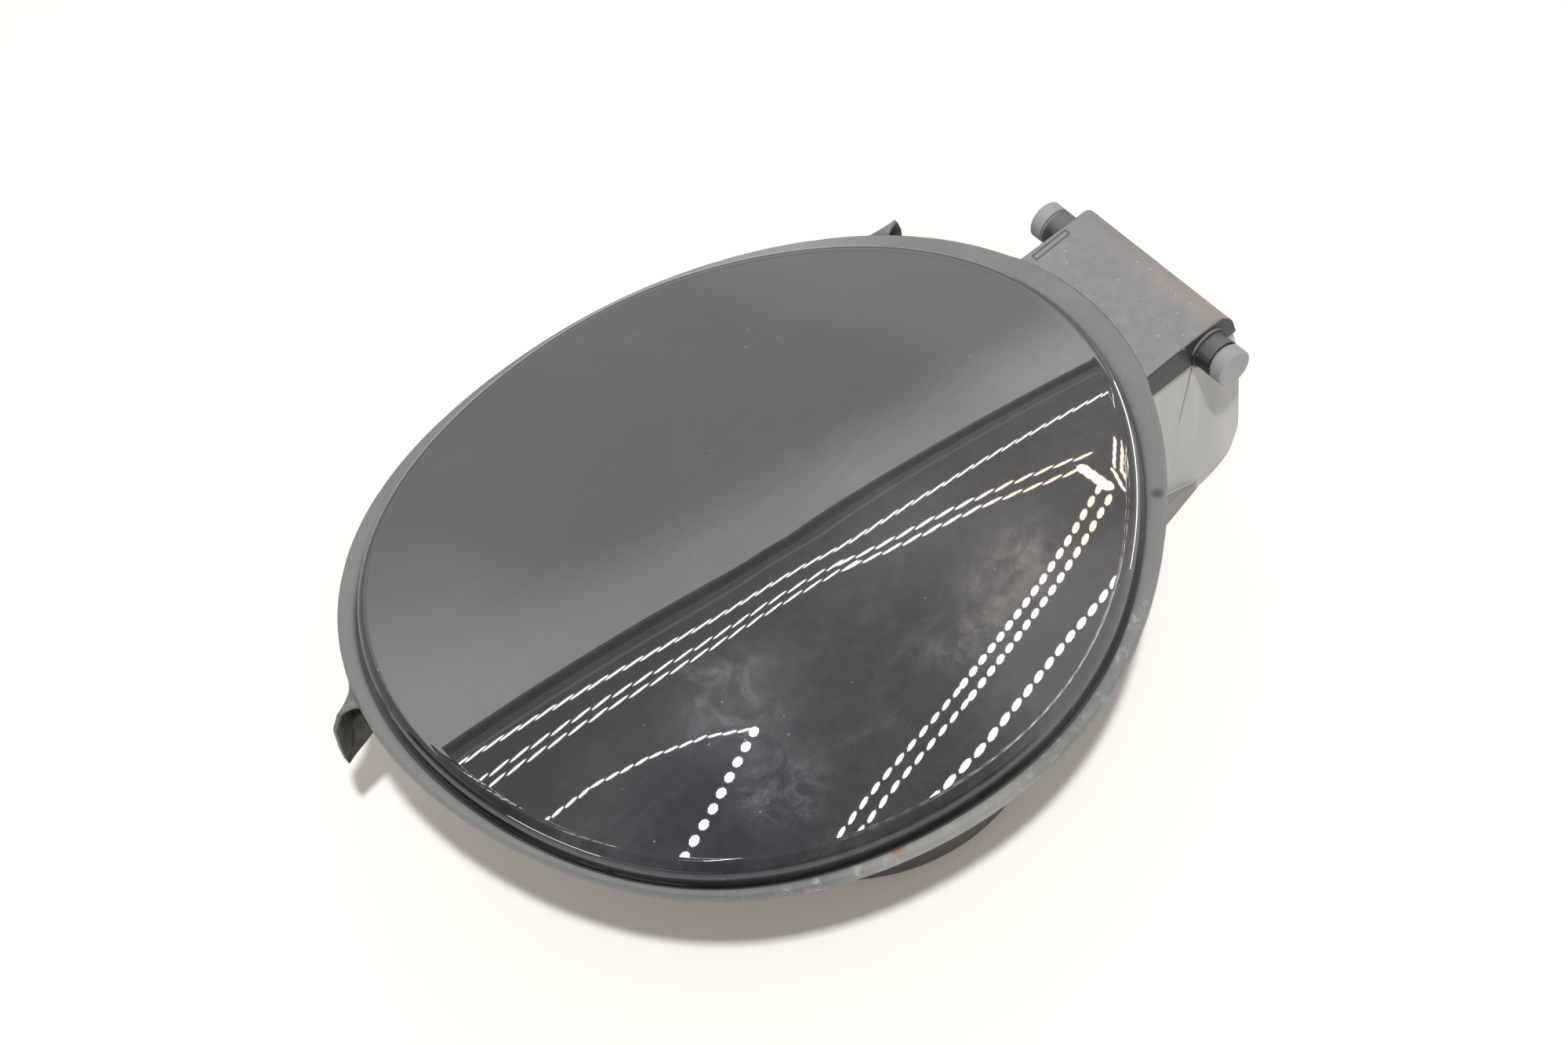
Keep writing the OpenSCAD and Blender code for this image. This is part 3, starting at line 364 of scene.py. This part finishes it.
def moulding(name, dark, pale, rough=0.5, grain=1600, edge=0.3, dirt=0.3):
    """Moulded plastic or rubber with fine grain, dust and worn edges."""
    finish = Finish(name, Specular_IOR_Level=0.4)
    place = finish.place
    cloud = place.noise(45, 5, 0.6, 0.4).ramp(0.3, 0.72)
    dust = place.noise(160, 6, 0.7).ramp(0.56, 0.8)
    specks = place.specks(560, 0.11) * place.noise(70, 3).ramp(0.45, 0.65)
    colour = cloud.tint(dark, pale)
    colour = (dust * dirt).tint(colour, (0.3, 0.29, 0.27))
    colour = (specks * 0.5).tint(colour, (0.4, 0.39, 0.37))
    height = place.noise(grain, 2).bump(0.02, 0.4, rounded(place, edge))
    return finish.feed(Base_Color=colour, Roughness=rough + cloud * 0.12 + dust * 0.12,
                       Normal=(dust * 0.5 + specks).bump(0.02, 0.3, height))


def metal(name, colour, dull, rough=0.32, brushed=(30, 900, 30), stain=0.35):
    """Plated or drawn steel with fine lines and dull stains."""
    finish = Finish(name, Metallic=1.0)
    place = finish.place
    lines = place.stretched(brushed).noise(1, 3)
    spots = place.noise(110, 5, 0.65, 0.6).ramp(0.5, 0.74)
    tone = lines.ramp(0.3, 0.7).tint(colour, tuple(0.86 * value for value in colour))
    tone = (spots * stain).tint(tone, dull)
    return finish.feed(Base_Color=tone, Roughness=rough + spots * 0.25 + lines * 0.08,
                       Normal=lines.bump(0.01, 0.35, rounded(place, 0.2)))


GLOSS = gloss_black()
SEAL = seal_rubber()
SPOUT_PAINTED_SHADE = spout_inside_painted_shade()
HOUSING = housing_plastic()
INNER = moulding("inner_plastic", (0.035, 0.035, 0.037), (0.055, 0.055, 0.058), 0.45)
BLACK = moulding("black_plastic", (0.022, 0.022, 0.023), (0.04, 0.04, 0.041), 0.42)
RUBBER = moulding("black_rubber", (0.014, 0.014, 0.014), (0.026, 0.026, 0.026), 0.68, 1200, 0.4)
CAP = moulding("cap_plastic", (0.31, 0.31, 0.31), (0.38, 0.378, 0.374), 0.5, 1700, 0.25, 0.15)
NYLON = moulding("bush_plastic", (0.6, 0.58, 0.53), (0.7, 0.68, 0.62), 0.35, 900, 0.2, 0.2)
BOLT = moulding("bolt_plastic", (0.5, 0.47, 0.4), (0.6, 0.57, 0.5), 0.35, 900, 0.2, 0.25)
ZINC = metal("zinc_steel", (0.6, 0.59, 0.56), (0.3, 0.27, 0.22))
DRAWN = metal("pin_steel", (0.55, 0.55, 0.55), (0.25, 0.24, 0.22), 0.25, (900, 30, 900))
SPRING = metal("spring_steel", (0.3, 0.3, 0.31), (0.12, 0.1, 0.085), 0.38, (300, 300, 300))

# ---- Pieces ---------------------------------------------------------------------------------


def add_piece(name, bm, body, slot, finishes, *nodes, sharp=35):
    """Turns a bmesh into a piece that rides on a body and stands for CAD nodes."""
    bmesh.ops.remove_doubles(bm, verts=bm.verts, dist=0.002 * MM)
    for face in bm.faces:
        face.smooth = True
    for edge in bm.edges:
        edge.smooth = len(edge.link_faces) != 2 or edge.calc_face_angle(0) < math.radians(sharp)
    mesh = bpy.data.meshes.new(name)
    bm.to_mesh(mesh)
    bm.free()
    piece = bpy.data.objects.new(name, mesh)
    bpy.context.scene.collection.objects.link(piece)
    for finish in finishes:
        mesh.materials.append(finish)
    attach(piece, body)
    if nodes:
        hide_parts(*nodes)
    return piece


def new_rings(section, place, segments=SEGMENTS, closed=False):
    """A shape drawn out ring by ring: place(angle, entry) gives a point for each section entry."""
    bm = bmesh.new()
    turn = bm.verts.layers.float.new("turn")
    bmesh.ops.create_circle(bm, segments=segments, radius=1)
    for vert in bm.verts:
        vert[turn] = math.degrees(math.atan2(vert.co.y, vert.co.x))
    edges = first = list(bm.edges)
    verts = list(bm.verts)
    for number, entry in enumerate(section):
        if number:
            made = bmesh.ops.extrude_edge_only(bm, edges=edges)["geom"]
            edges = [part for part in made if isinstance(part, bmesh.types.BMEdge)
                     and len(part.link_faces) == 1]
            verts = [part for part in made if isinstance(part, bmesh.types.BMVert)]
        for vert in verts:
            vert.co = place(vert[turn], entry)
    if closed:
        bmesh.ops.bridge_loops(bm, edges=first + edges)
    return bm


def on_flap(turn, radius, height):
    """A point in metres from an angle and a radius round the flap's middle, in millimetres."""
    return Vector((FLAP_MIDDLE.x + radius * cosd(turn), FLAP_MIDDLE.y + radius * sind(turn),
                   height)) * MM


def face_outwards(bm):
    bmesh.ops.remove_doubles(bm, verts=bm.verts, dist=0.002 * MM)
    bmesh.ops.recalc_face_normals(bm, faces=bm.faces)
    return bm


def flap_skin():
    """Domed skin with a rolled edge, a side wall and a hem."""
    def dome(share):
        return FLAP_TOP + CROWN * (1 - share * share)

    def place(turn, entry):
        share, inset, height = entry
        return on_flap(turn, share * flap_edge(turn) - inset, height)

    rim = 1 - (ROLL_R + 0.25) / FLAP_R
    start = 86
    roll_z = dome(rim) - ROLL_R * sind(start)
    steps, domes = 16, 30
    shares = [rim * number / domes for number in range(domes)] + [rim * 0.987, rim * 0.997, rim]
    outer = [(share, 0, dome(share)) for share in shares]
    roll = [(1, ROLL_R * (1 - cosd(turn)), roll_z + ROLL_R * sind(turn))
            for turn in (start * (1 - number / steps) for number in range(steps + 1))]
    hem = [(1, 0, SKIN_BOTTOM + 0.5), (1, 0.15, SKIN_BOTTOM + 0.15), (1, 0.5, SKIN_BOTTOM),
           (1, SKIN_T - 0.4, SKIN_BOTTOM), (1, SKIN_T, SKIN_BOTTOM + 0.4)]
    under = [(1, SKIN_T, roll_z), (1, SKIN_T + 0.9, roll_z + 1.1),
             (1, SKIN_T + ROLL_R, roll_z + 1.4)]
    back = [(rim * number / 12, 0, dome(rim * number / 12) - SKIN_T)
            for number in range(11, -1, -1)]
    bm = new_rings(outer + roll + hem + under + back, place)
    return add_piece("flap_skin", face_outwards(bm), "door_body", "gloss_black", [GLOSS],
                     "door_skin")


def seal_band():
    """Soft lip round the flap: rolled inner edge, flat top, bent-down outer edge and skirt."""
    low = FLANGE_TOP - LIP_SKIRT
    block = ROOF_W / 2 + 0.3
    notch_at, notch_half, notch_deep = -33.5, 0.75, 0.8

    def place(turn, entry):
        share, inset, height = entry
        inner, outer = flap_edge(turn) + LIP_GAP, lip_edge(turn)
        if share > 0.9 and abs(turn - notch_at) < notch_half:
            inset = inset + notch_deep
        nick = 0.12 * max(0, sind(turn * 37 + 20) * sind(turn * 11)) ** 6
        point = on_flap(turn, inner, height)
        at_block = point.x > (HINGE.x - 40) * MM and abs(point.y / MM - HINGE.y) < block
        if at_block:
            outer = outer + 0.28
        point = on_flap(turn, inner + share * (outer - inner - nick) - inset, height)
        if at_block and height < FLANGE_TOP:
            point.z = (FLANGE_TOP + 0.02) * MM
        return point

    section = [
        (0, 0, FLANGE_TOP + 0.02), (0, 0, LIP_TOP - 0.9), (0.04, 0, LIP_TOP - 0.4),
        (0.12, 0, LIP_TOP - 0.12), (0.25, 0, LIP_TOP), (0.5, 0, LIP_TOP), (0.7, 0, LIP_TOP - 0.06),
        (0.84, 0, LIP_TOP - 0.24), (0.93, 0, LIP_TOP - 0.55), (0.985, 0, LIP_TOP - 0.95),
        (1, 0, LIP_TOP - 1.5), (1, 0, low + 0.3), (1, 0.1, low + 0.08), (1, 0.3, low),
        (1, SKIRT_T - 0.2, low), (1, SKIRT_T, low + 0.2), (1, SKIRT_T, FLANGE_TOP + 0.02)]
    bm = new_rings(section, place, closed=True)
    return add_piece("seal_band", face_outwards(bm), "housing_body", "seal_rubber", [SEAL],
                     "seal_lip")


def drip_spout(name, turn, side):
    """Flared drip spout: a leaf-shaped mouth that draws in to the lip along a hollow curve."""
    top_r = SPOUT_W * 0.46
    leaf = [(top_r + top_r * cosd(angle), -top_r + top_r * sind(angle))
            for angle in range(180, 30, -15)]
    leaf += [(SPOUT_W, -0.3 * SPOUT_H), (SPOUT_W, -0.5 * SPOUT_H), (SPOUT_W, -0.66 * SPOUT_H),
             (0.96 * SPOUT_W, -0.88 * SPOUT_H), (0.9 * SPOUT_W, -0.985 * SPOUT_H),
             (0.84 * SPOUT_W, -0.985 * SPOUT_H), (0.6 * SPOUT_W, -0.89 * SPOUT_H),
             (0.3 * SPOUT_W, -0.75 * SPOUT_H), (0, -0.6 * SPOUT_H), (0, -0.4 * SPOUT_H)]
    root = (0.2, -2.6)
    stations = 9

    def spot(point, share):
        across = root[0] + (point[0] - root[0]) * (0.16 + 0.84 * (1 - share) ** 1.9)
        down = root[1] + (point[1] - root[1]) * (0.13 + 0.87 * (1 - share) ** 1.5)
        angle = turn + side * SPOUT_FLARE * share * 1.2
        return on_flap(angle, lip_edge(angle) - 1.6 + across, LIP_TOP - 0.15 + down)

    bm = bmesh.new()
    verts = [bm.verts.new(spot(point, 0)) for point in leaf]
    bm.edges.new((verts[-1], verts[0]))
    for first, second in zip(verts, verts[1:]):
        bm.edges.new((first, second))
    edges = list(bm.edges)
    for number in range(1, stations + 1):
        made = bmesh.ops.extrude_edge_only(bm, edges=edges)["geom"]
        edges = [part for part in made if isinstance(part, bmesh.types.BMEdge)
                 and len(part.link_faces) == 1]
        ring = [part for part in made if isinstance(part, bmesh.types.BMVert)]
        for vert in ring:
            point = min(leaf, key=lambda corner: (
                spot(corner, (number - 1) / stations) - vert.co).length)
            vert.co = spot(point, number / stations)
    bmesh.ops.contextual_create(bm, geom=edges)
    face_outwards(bm)
    piece = add_piece(name, bm, "housing_body", "seal_rubber", [SEAL, SPOUT_PAINTED_SHADE], "seal_lip")
    wall = piece.modifiers.new("wall", "SOLIDIFY")
    wall.thickness = 0.9 * MM
    wall.offset = -1
    # The inner faces take the spout's inside finish, painted dark as shade.
    wall.material_offset = 1
    return piece


def coil(name, body, slot, finish, node, middle, axis, reach, wire, length, turns, start):
    """Helical spring: a round wire section spun about its axis while it moves along it."""
    bm = bmesh.new()
    direction = Vector(axis)
    out = Vector(start)
    bmesh.ops.create_circle(bm, segments=14, radius=wire / 2 * MM, cap_ends=True)
    turned = direction.cross(out).normalized().to_track_quat("Z", "Y").to_matrix().to_4x4()
    seat = Matrix.Translation((Vector(middle) - direction * length / 2 + out * reach) * MM)
    bmesh.ops.transform(bm, matrix=seat @ turned, verts=bm.verts)
    steps = int(turns * 30)
    bmesh.ops.spin(bm, geom=list(bm.faces), cent=Vector(middle) * MM, axis=direction,
                   dvec=direction * length / steps * MM, angle=math.radians(360 * turns),
                   steps=steps, use_duplicate=False)
    face_outwards(bm)
    return add_piece(name, bm, body, slot, [finish], node)


def smooth_copy(node, body, slot, finish):
    """A merged and smooth-shaded copy of a CAD node that stands for it."""
    bm = bmesh.new()
    bm.from_mesh(frame["nodes"][node].data)
    bmesh.ops.remove_doubles(bm, verts=bm.verts, dist=0.004 * MM)
    return add_piece(node + "_finished", bm, body, slot, [finish], node, sharp=24)


FINISHES = {
    "gloss_black": GLOSS, "inner_plastic": INNER, "black_plastic": BLACK, "zinc_steel": ZINC,
    "bush_plastic": NYLON, "housing_plastic": HOUSING, "seal_rubber": SEAL, "pin_steel": DRAWN,
    "cap_plastic": CAP, "spring_steel": SPRING, "black_rubber": RUBBER, "bolt_plastic": BOLT}
SLOT_OF = {row["node"]: row["material_slot"] for row in frame["record"]["subparts"]}
BODY_OF = {node: body for body, nodes in frame["record"]["behaviour"]["bodies"].items()
           for node in nodes}
OWN_SHAPE = ("door_skin", "seal_lip", "hinge_spring", "lock_spring")

flap_skin()
seal_band()
drip_spout("drip_spout_far", SPOUT_AT[0], 1)
drip_spout("drip_spout_left", SPOUT_AT[1], -1)
for node, slot in SLOT_OF.items():
    if node not in OWN_SHAPE:
        smooth_copy(node, BODY_OF[node], slot, FINISHES[slot])

spring_low, spring_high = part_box("lock_spring")
spring_length = (spring_high.x - spring_low.x) / MM
lock_spring = coil("lock_spring_coil", "housing_body", "spring_steel", SPRING, "lock_spring",
                   (spring_low + spring_high) / 2 / MM, (1, 0, 0), LOCK_R + 1.2, LOCK_WIRE,
                   spring_length - LOCK_WIRE, LOCK_COILS, (0, 1, 0))
# The pin's collar squeezes the spring against the end of its guide, which stays where it is
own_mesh(lock_spring)
coil("hinge_spring_coil", "housing_body", "spring_steel", SPRING, "hinge_spring",
     HINGE, (0, 1, 0), PIN_R + HINGE_WIRE / 2 + 0.3, HINGE_WIRE,
     HINGE_COILS * HINGE_WIRE * 1.6, HINGE_COILS, (0, 0, 1))

# ---- Floor, lamps and camera -----------------------------------------------------------------

FLOOR_HALF = 6.0
CEILING = 1600
LAMP_SLANT = math.radians(9)
ROOM_LIGHT = 0.36

# Lamp strips over the flap, seen only as reflections: middle line, lanes on it, length and
# width of a lamp, step from lamp to lamp, and strength, in millimetres at the ceiling
LAMP_STRIPS = [
    ([(60, 882), (514, 831), (814, 800), (1180, 778)], (0,), 36, 3.2, 25, 34),
    ([(70, 834), (274, 821), (487, 799), (640, 785)], (-7, 7), 34, 3.6, 30, 30),
    ([(640, 790), (781, 760), (875, 737), (959, 713), (1010, 696)], (0,), 34, 4.6, 30, 34),
    ([(640, 776), (769, 746), (838, 729), (907, 706), (976, 686)], (0,), 34, 4.6, 30, 34),
    ([(970, 635), (898, 604), (803, 566), (687, 524), (587, 491)], (-10, 10), 21, 9, 24.5, 34),
    ([(587, 491), (441, 450), (330, 417)], (-10, 10), 21, 6.4, 24.5, 34),
    ([(930, 531), (854, 505), (756, 475), (653, 441), (549, 410), (430, 386)], (0,), 26, 9.5,
     29, 34),
    ([(80, 735), (178, 732), (251, 714), (319, 684), (368, 646)], (0,), 21, 4.4, 20, 34),
    ([(368, 640), (246, 581), (180, 555)], (0,), 17, 14, 25, 44),
    ([(974, 684), (978, 640)], (0,), 24, 17, 14, 40),
    ([(1047, 690), (1009, 650), (997, 615)], (-8, 3), 22, 4, 14, 40),
]


def flat_sheet(name, corners, finish):
    """A flat stage sheet with its corners in metres."""
    bm = bmesh.new()
    bm.faces.new([bm.verts.new(corner) for corner in corners])
    mesh = bpy.data.meshes.new(name)
    bm.to_mesh(mesh)
    bm.free()
    sheet = bpy.data.objects.new(name, mesh)
    bpy.context.scene.collection.objects.link(sheet)
    mesh.materials.append(finish)
    return sheet


def seen_white(tree_of):
    """1 for what the camera, a mirror or clear glass sees, and 0 for the light on the object."""
    rays = ("Is Camera Ray", "Is Glossy Ray", "Is Transmission Ray")
    path = tree_of.node("ShaderNodeLightPath")
    seen = sum(Signal(path.tree, path.socket.node.outputs[ray]) for ray in rays)
    return seen.node("ShaderNodeClamp", None, {"Value": seen})


def floor_white():
    """White table: its colour lifts to white for the camera but keeps the object's shadow."""
    finish = Finish("floor_white", Roughness=0.9, Specular_IOR_Level=0.1, Emission_Strength=0.14)
    cloud = finish.place.noise(3, 3).ramp(0.3, 0.7)
    return finish.feed(Base_Color=cloud.tint((0.87, 0.86, 0.84), (0.89, 0.88, 0.86)),
                       Emission_Color=seen_white(finish.place).tint((0, 0, 0), (1, 0.8, 0.6)))


def glow(name, strength, colour=(1, 1, 1)):
    """Light-giving sheet that only reflections see."""
    finish = Finish(name, Base_Color=(0, 0, 0, 1), Specular_IOR_Level=0.0,
                    Emission_Strength=strength)
    finish.shader.inputs["Emission Color"].default_value = (*colour, 1)
    return finish.material


def reflected_only(sheet):
    sheet.visible_camera = False
    sheet.visible_diffuse = False
    sheet.visible_shadow = False
    sheet.visible_transmission = False
    return sheet


def ceiling_card(name, corners, height, finish):
    """Flat card over the object, given by its corners in millimetres."""
    return reflected_only(flat_sheet(
        name, [(x * MM, y * MM, height * MM) for x, y in corners], finish))


def upright_card(name, start, end, low, high, finish):
    """Upright card from one point of the floor plan to another, between two heights."""
    return reflected_only(flat_sheet(name, [
        Vector((*point, height)) * MM for point, height in
        ((start, low), (end, low), (end, high), (start, high))], finish))


def lamp_row(bm, line, lane, length, width, step):
    """Lamps one after the other along a bent line, shifted sideways into their lane."""
    travelled = step * (0.5 if lane > 0 else 0)
    for start, end in zip(line, line[1:]):
        start, end = Vector((*start, CEILING)), Vector((*end, CEILING))
        along = (end - start).normalized()
        side = Vector((-along.y, along.x, 0))
        while travelled < (end - start).length:
            middle = start + along * travelled + side * lane
            bmesh.ops.create_circle(
                bm, cap_ends=True, segments=8, radius=0.5,
                matrix=Matrix.Translation(middle * MM) @ Matrix.Rotation(LAMP_SLANT, 4, "Z")
                @ Matrix((along * length * MM, side * width * MM, Vector((0, 0, MM)))
                         ).transposed().to_4x4())
            travelled += step
        travelled -= (end - start).length


flat_sheet("table_top", [(-FLOOR_HALF, -FLOOR_HALF, 0), (FLOOR_HALF, -FLOOR_HALF, 0),
                         (FLOOR_HALF, FLOOR_HALF, 0), (-FLOOR_HALF, FLOOR_HALF, 0)],
           floor_white())


def pale_ceiling():
    """Grey ceiling that is a little lighter towards its edge and the hinge side."""
    finish = Finish("pale_ceiling", Base_Color=(0, 0, 0, 1), Specular_IOR_Level=0.0,
                    Emission_Strength=5.4)
    place = finish.place
    x, y = place.axis("X"), place.axis("Y")
    near_edge = (y + x * 0.07).ramp(1150, 960)
    left = x.ramp(500, 120) * y.ramp(1500, 1000)
    cloud = place.noise(2.2, 2).ramp(0.3, 0.7)
    colour = near_edge.tint((0.41, 0.4, 0.412), (0.79, 0.772, 0.8))
    colour = (left * 0.8).tint(colour, (0.96, 0.94, 0.98))
    colour = x.ramp(900, 1080).tint(colour, near_edge.tint((0.54, 0.525, 0.54), (1, 0.985, 1)))
    return finish.feed(Emission_Color=(cloud * 0.15).tint(colour, (0.34, 0.33, 0.335)))


def dark_room():
    """Dim room beyond the lamps, a little brighter and warmer towards the hinge side."""
    finish = Finish("dark_room", Base_Color=(0, 0, 0, 1), Specular_IOR_Level=0.0,
                    Emission_Strength=1.0)
    place = finish.place
    x, y = place.axis("X"), place.axis("Y")
    colour = x.ramp(100, 560).tint((0.2, 0.2, 0.23), (0.52, 0.515, 0.54))
    colour = y.ramp(640, 780).tint(colour, (0.62, 0.615, 0.63))
    colour = x.ramp(620, 820).tint(colour, (0.86, 0.74, 0.68))
    cloud = place.noise(4, 3).ramp(0.35, 0.65)
    return finish.feed(Emission_Color=(cloud * 0.3).tint(colour, (0.2, 0.2, 0.22)))


def lamp_light(name, strength):
    """Lamp colour: white, and warmer towards the hinge side."""
    finish = Finish(name, Base_Color=(0, 0, 0, 1), Specular_IOR_Level=0.0,
                    Emission_Strength=strength)
    x, y = finish.place.axis("X"), finish.place.axis("Y")
    warm = x.ramp(780, 900) * y.ramp(775, 755) * y.ramp(545, 565)
    return finish.feed(Emission_Color=warm.tint((1, 1, 1), (1, 0.8, 0.55)))


ceiling_card("ceiling_card", [(-900, 972), (1300, 852), (2600, 800), (2600, 3600), (-900, 3600)],
             CEILING + 20, pale_ceiling())
ceiling_card("edge_shadow", [(-900, 972), (-900, 960), (1300, 838), (1300, 852)],
             CEILING + 10, glow("edge_shadow", 0.01))
ceiling_card("thin_line", [(-900, 946), (-900, 941), (1300, 821), (1300, 826)],
             CEILING + 8, glow("thin_line", 1.4))
ceiling_card("dark_room", [(-4000, -4000), (2600, -4000), (2600, 800), (1300, 860), (-900, 980),
                           (-4000, 980)],
             CEILING + 15, dark_room())
side_wall = [(-3200, 2400), (-3200, -500), (-2300, -2200), (1800, -3400)]
for number, (start, end) in enumerate(zip(side_wall, side_wall[1:])):
    upright_card("side_wall_%d" % number, start, end, 0, CEILING, glow("side_wall", 0.05))
upright_card("window", (-3100, 600), (-3100, -560), 560, 900, glow("window", 17, (0.8, 0.93, 1)))
upright_card("window_edge", (-3100, -560), (-2230, -2000), 600, 860,
             glow("window_edge", 2.6, (0.6, 0.85, 1)))
upright_card("far_window", (3000, 560), (3100, -1150), 0, 520, glow("far_window", 16))
for number, (line, lanes, length, width, step, strength) in enumerate(LAMP_STRIPS):
    strip = bmesh.new()
    for lane in lanes:
        lamp_row(strip, line, lane, length, width, step)
    mesh = bpy.data.meshes.new("lamp_strip_%d" % number)
    strip.to_mesh(mesh)
    strip.free()
    lamps = bpy.data.objects.new(mesh.name, mesh)
    bpy.context.scene.collection.objects.link(lamps)
    mesh.materials.append(lamp_light(mesh.name, strength))
    reflected_only(lamps)

world = bpy.data.worlds.new("plain_room")
bpy.context.scene.world = world
world.use_nodes = True
background = world.node_tree.nodes["Background"]
background.inputs["Color"].default_value = (1, 1, 1, 1)
seen = seen_white(Signal(world.node_tree, None))
world.node_tree.links.new((seen * (1 - ROOM_LIGHT) + ROOM_LIGHT).socket,
                          background.inputs["Strength"])


def soft_lamp(name, place, aim, size, power, colour=(1, 1, 1)):
    """Square soft lamp at a place in metres, turned towards a point."""
    lamp = bpy.data.lights.new(name, "AREA")
    lamp.energy, lamp.size, lamp.color = power, size, colour
    made = bpy.data.objects.new(name, lamp)
    bpy.context.scene.collection.objects.link(made)
    made.location = place
    made.rotation_mode = "QUATERNION"
    made.rotation_quaternion = (Vector(aim) - Vector(place)).to_track_quat("-Z", "Y")
    made.visible_glossy = False
    return made


soft_lamp("main_lamp", (-0.507, -0.887, 2.43), (0, 0, 0.03), 0.1, 54)
soft_lamp("fill_lamp", (0.7, 0.9, 1.3), (0, 0, 0.03), 1.2, 2.5)

# The camera looks down on the near side; it was fitted to the flap's outline and the hinge
CAMERA_TURN, CAMERA_RISE, CAMERA_ROLL = -34.225860288, 54.300297424, -8.405500052
FOCUS_PX, AIM_PX, AIM_DISTANCE = 5000, (960, 710), 877.193
PHOTO_W, PHOTO_H = 2000, 1333
AIM_POINT = Vector((-12, 12, 68))

back = Vector((sind(CAMERA_TURN) * cosd(CAMERA_RISE), -cosd(CAMERA_TURN) * cosd(CAMERA_RISE),
               sind(CAMERA_RISE)))
level = Vector((cosd(CAMERA_TURN), sind(CAMERA_TURN), 0))
upright = back.cross(level)
right = level * cosd(CAMERA_ROLL) + upright * sind(CAMERA_ROLL)
above = upright * cosd(CAMERA_ROLL) - level * sind(CAMERA_ROLL)
slide = (AIM_PX[0] - PHOTO_W / 2) / FOCUS_PX
lift = -(AIM_PX[1] - PHOTO_H / 2) / FOCUS_PX
eye = AIM_POINT - (right * slide + above * lift - back) * AIM_DISTANCE
camera_data = bpy.data.cameras.new("camera")
camera_data.sensor_width = 36
camera_data.lens = 36 * FOCUS_PX / PHOTO_W
camera = bpy.data.objects.new("camera", camera_data)
bpy.context.scene.collection.objects.link(camera)
camera.matrix_world = Matrix.Translation(eye * MM) @ Matrix(
    (right, above, back)).transposed().to_4x4()
bpy.context.scene.camera = camera
bpy.context.scene.view_settings.view_transform = "Standard"
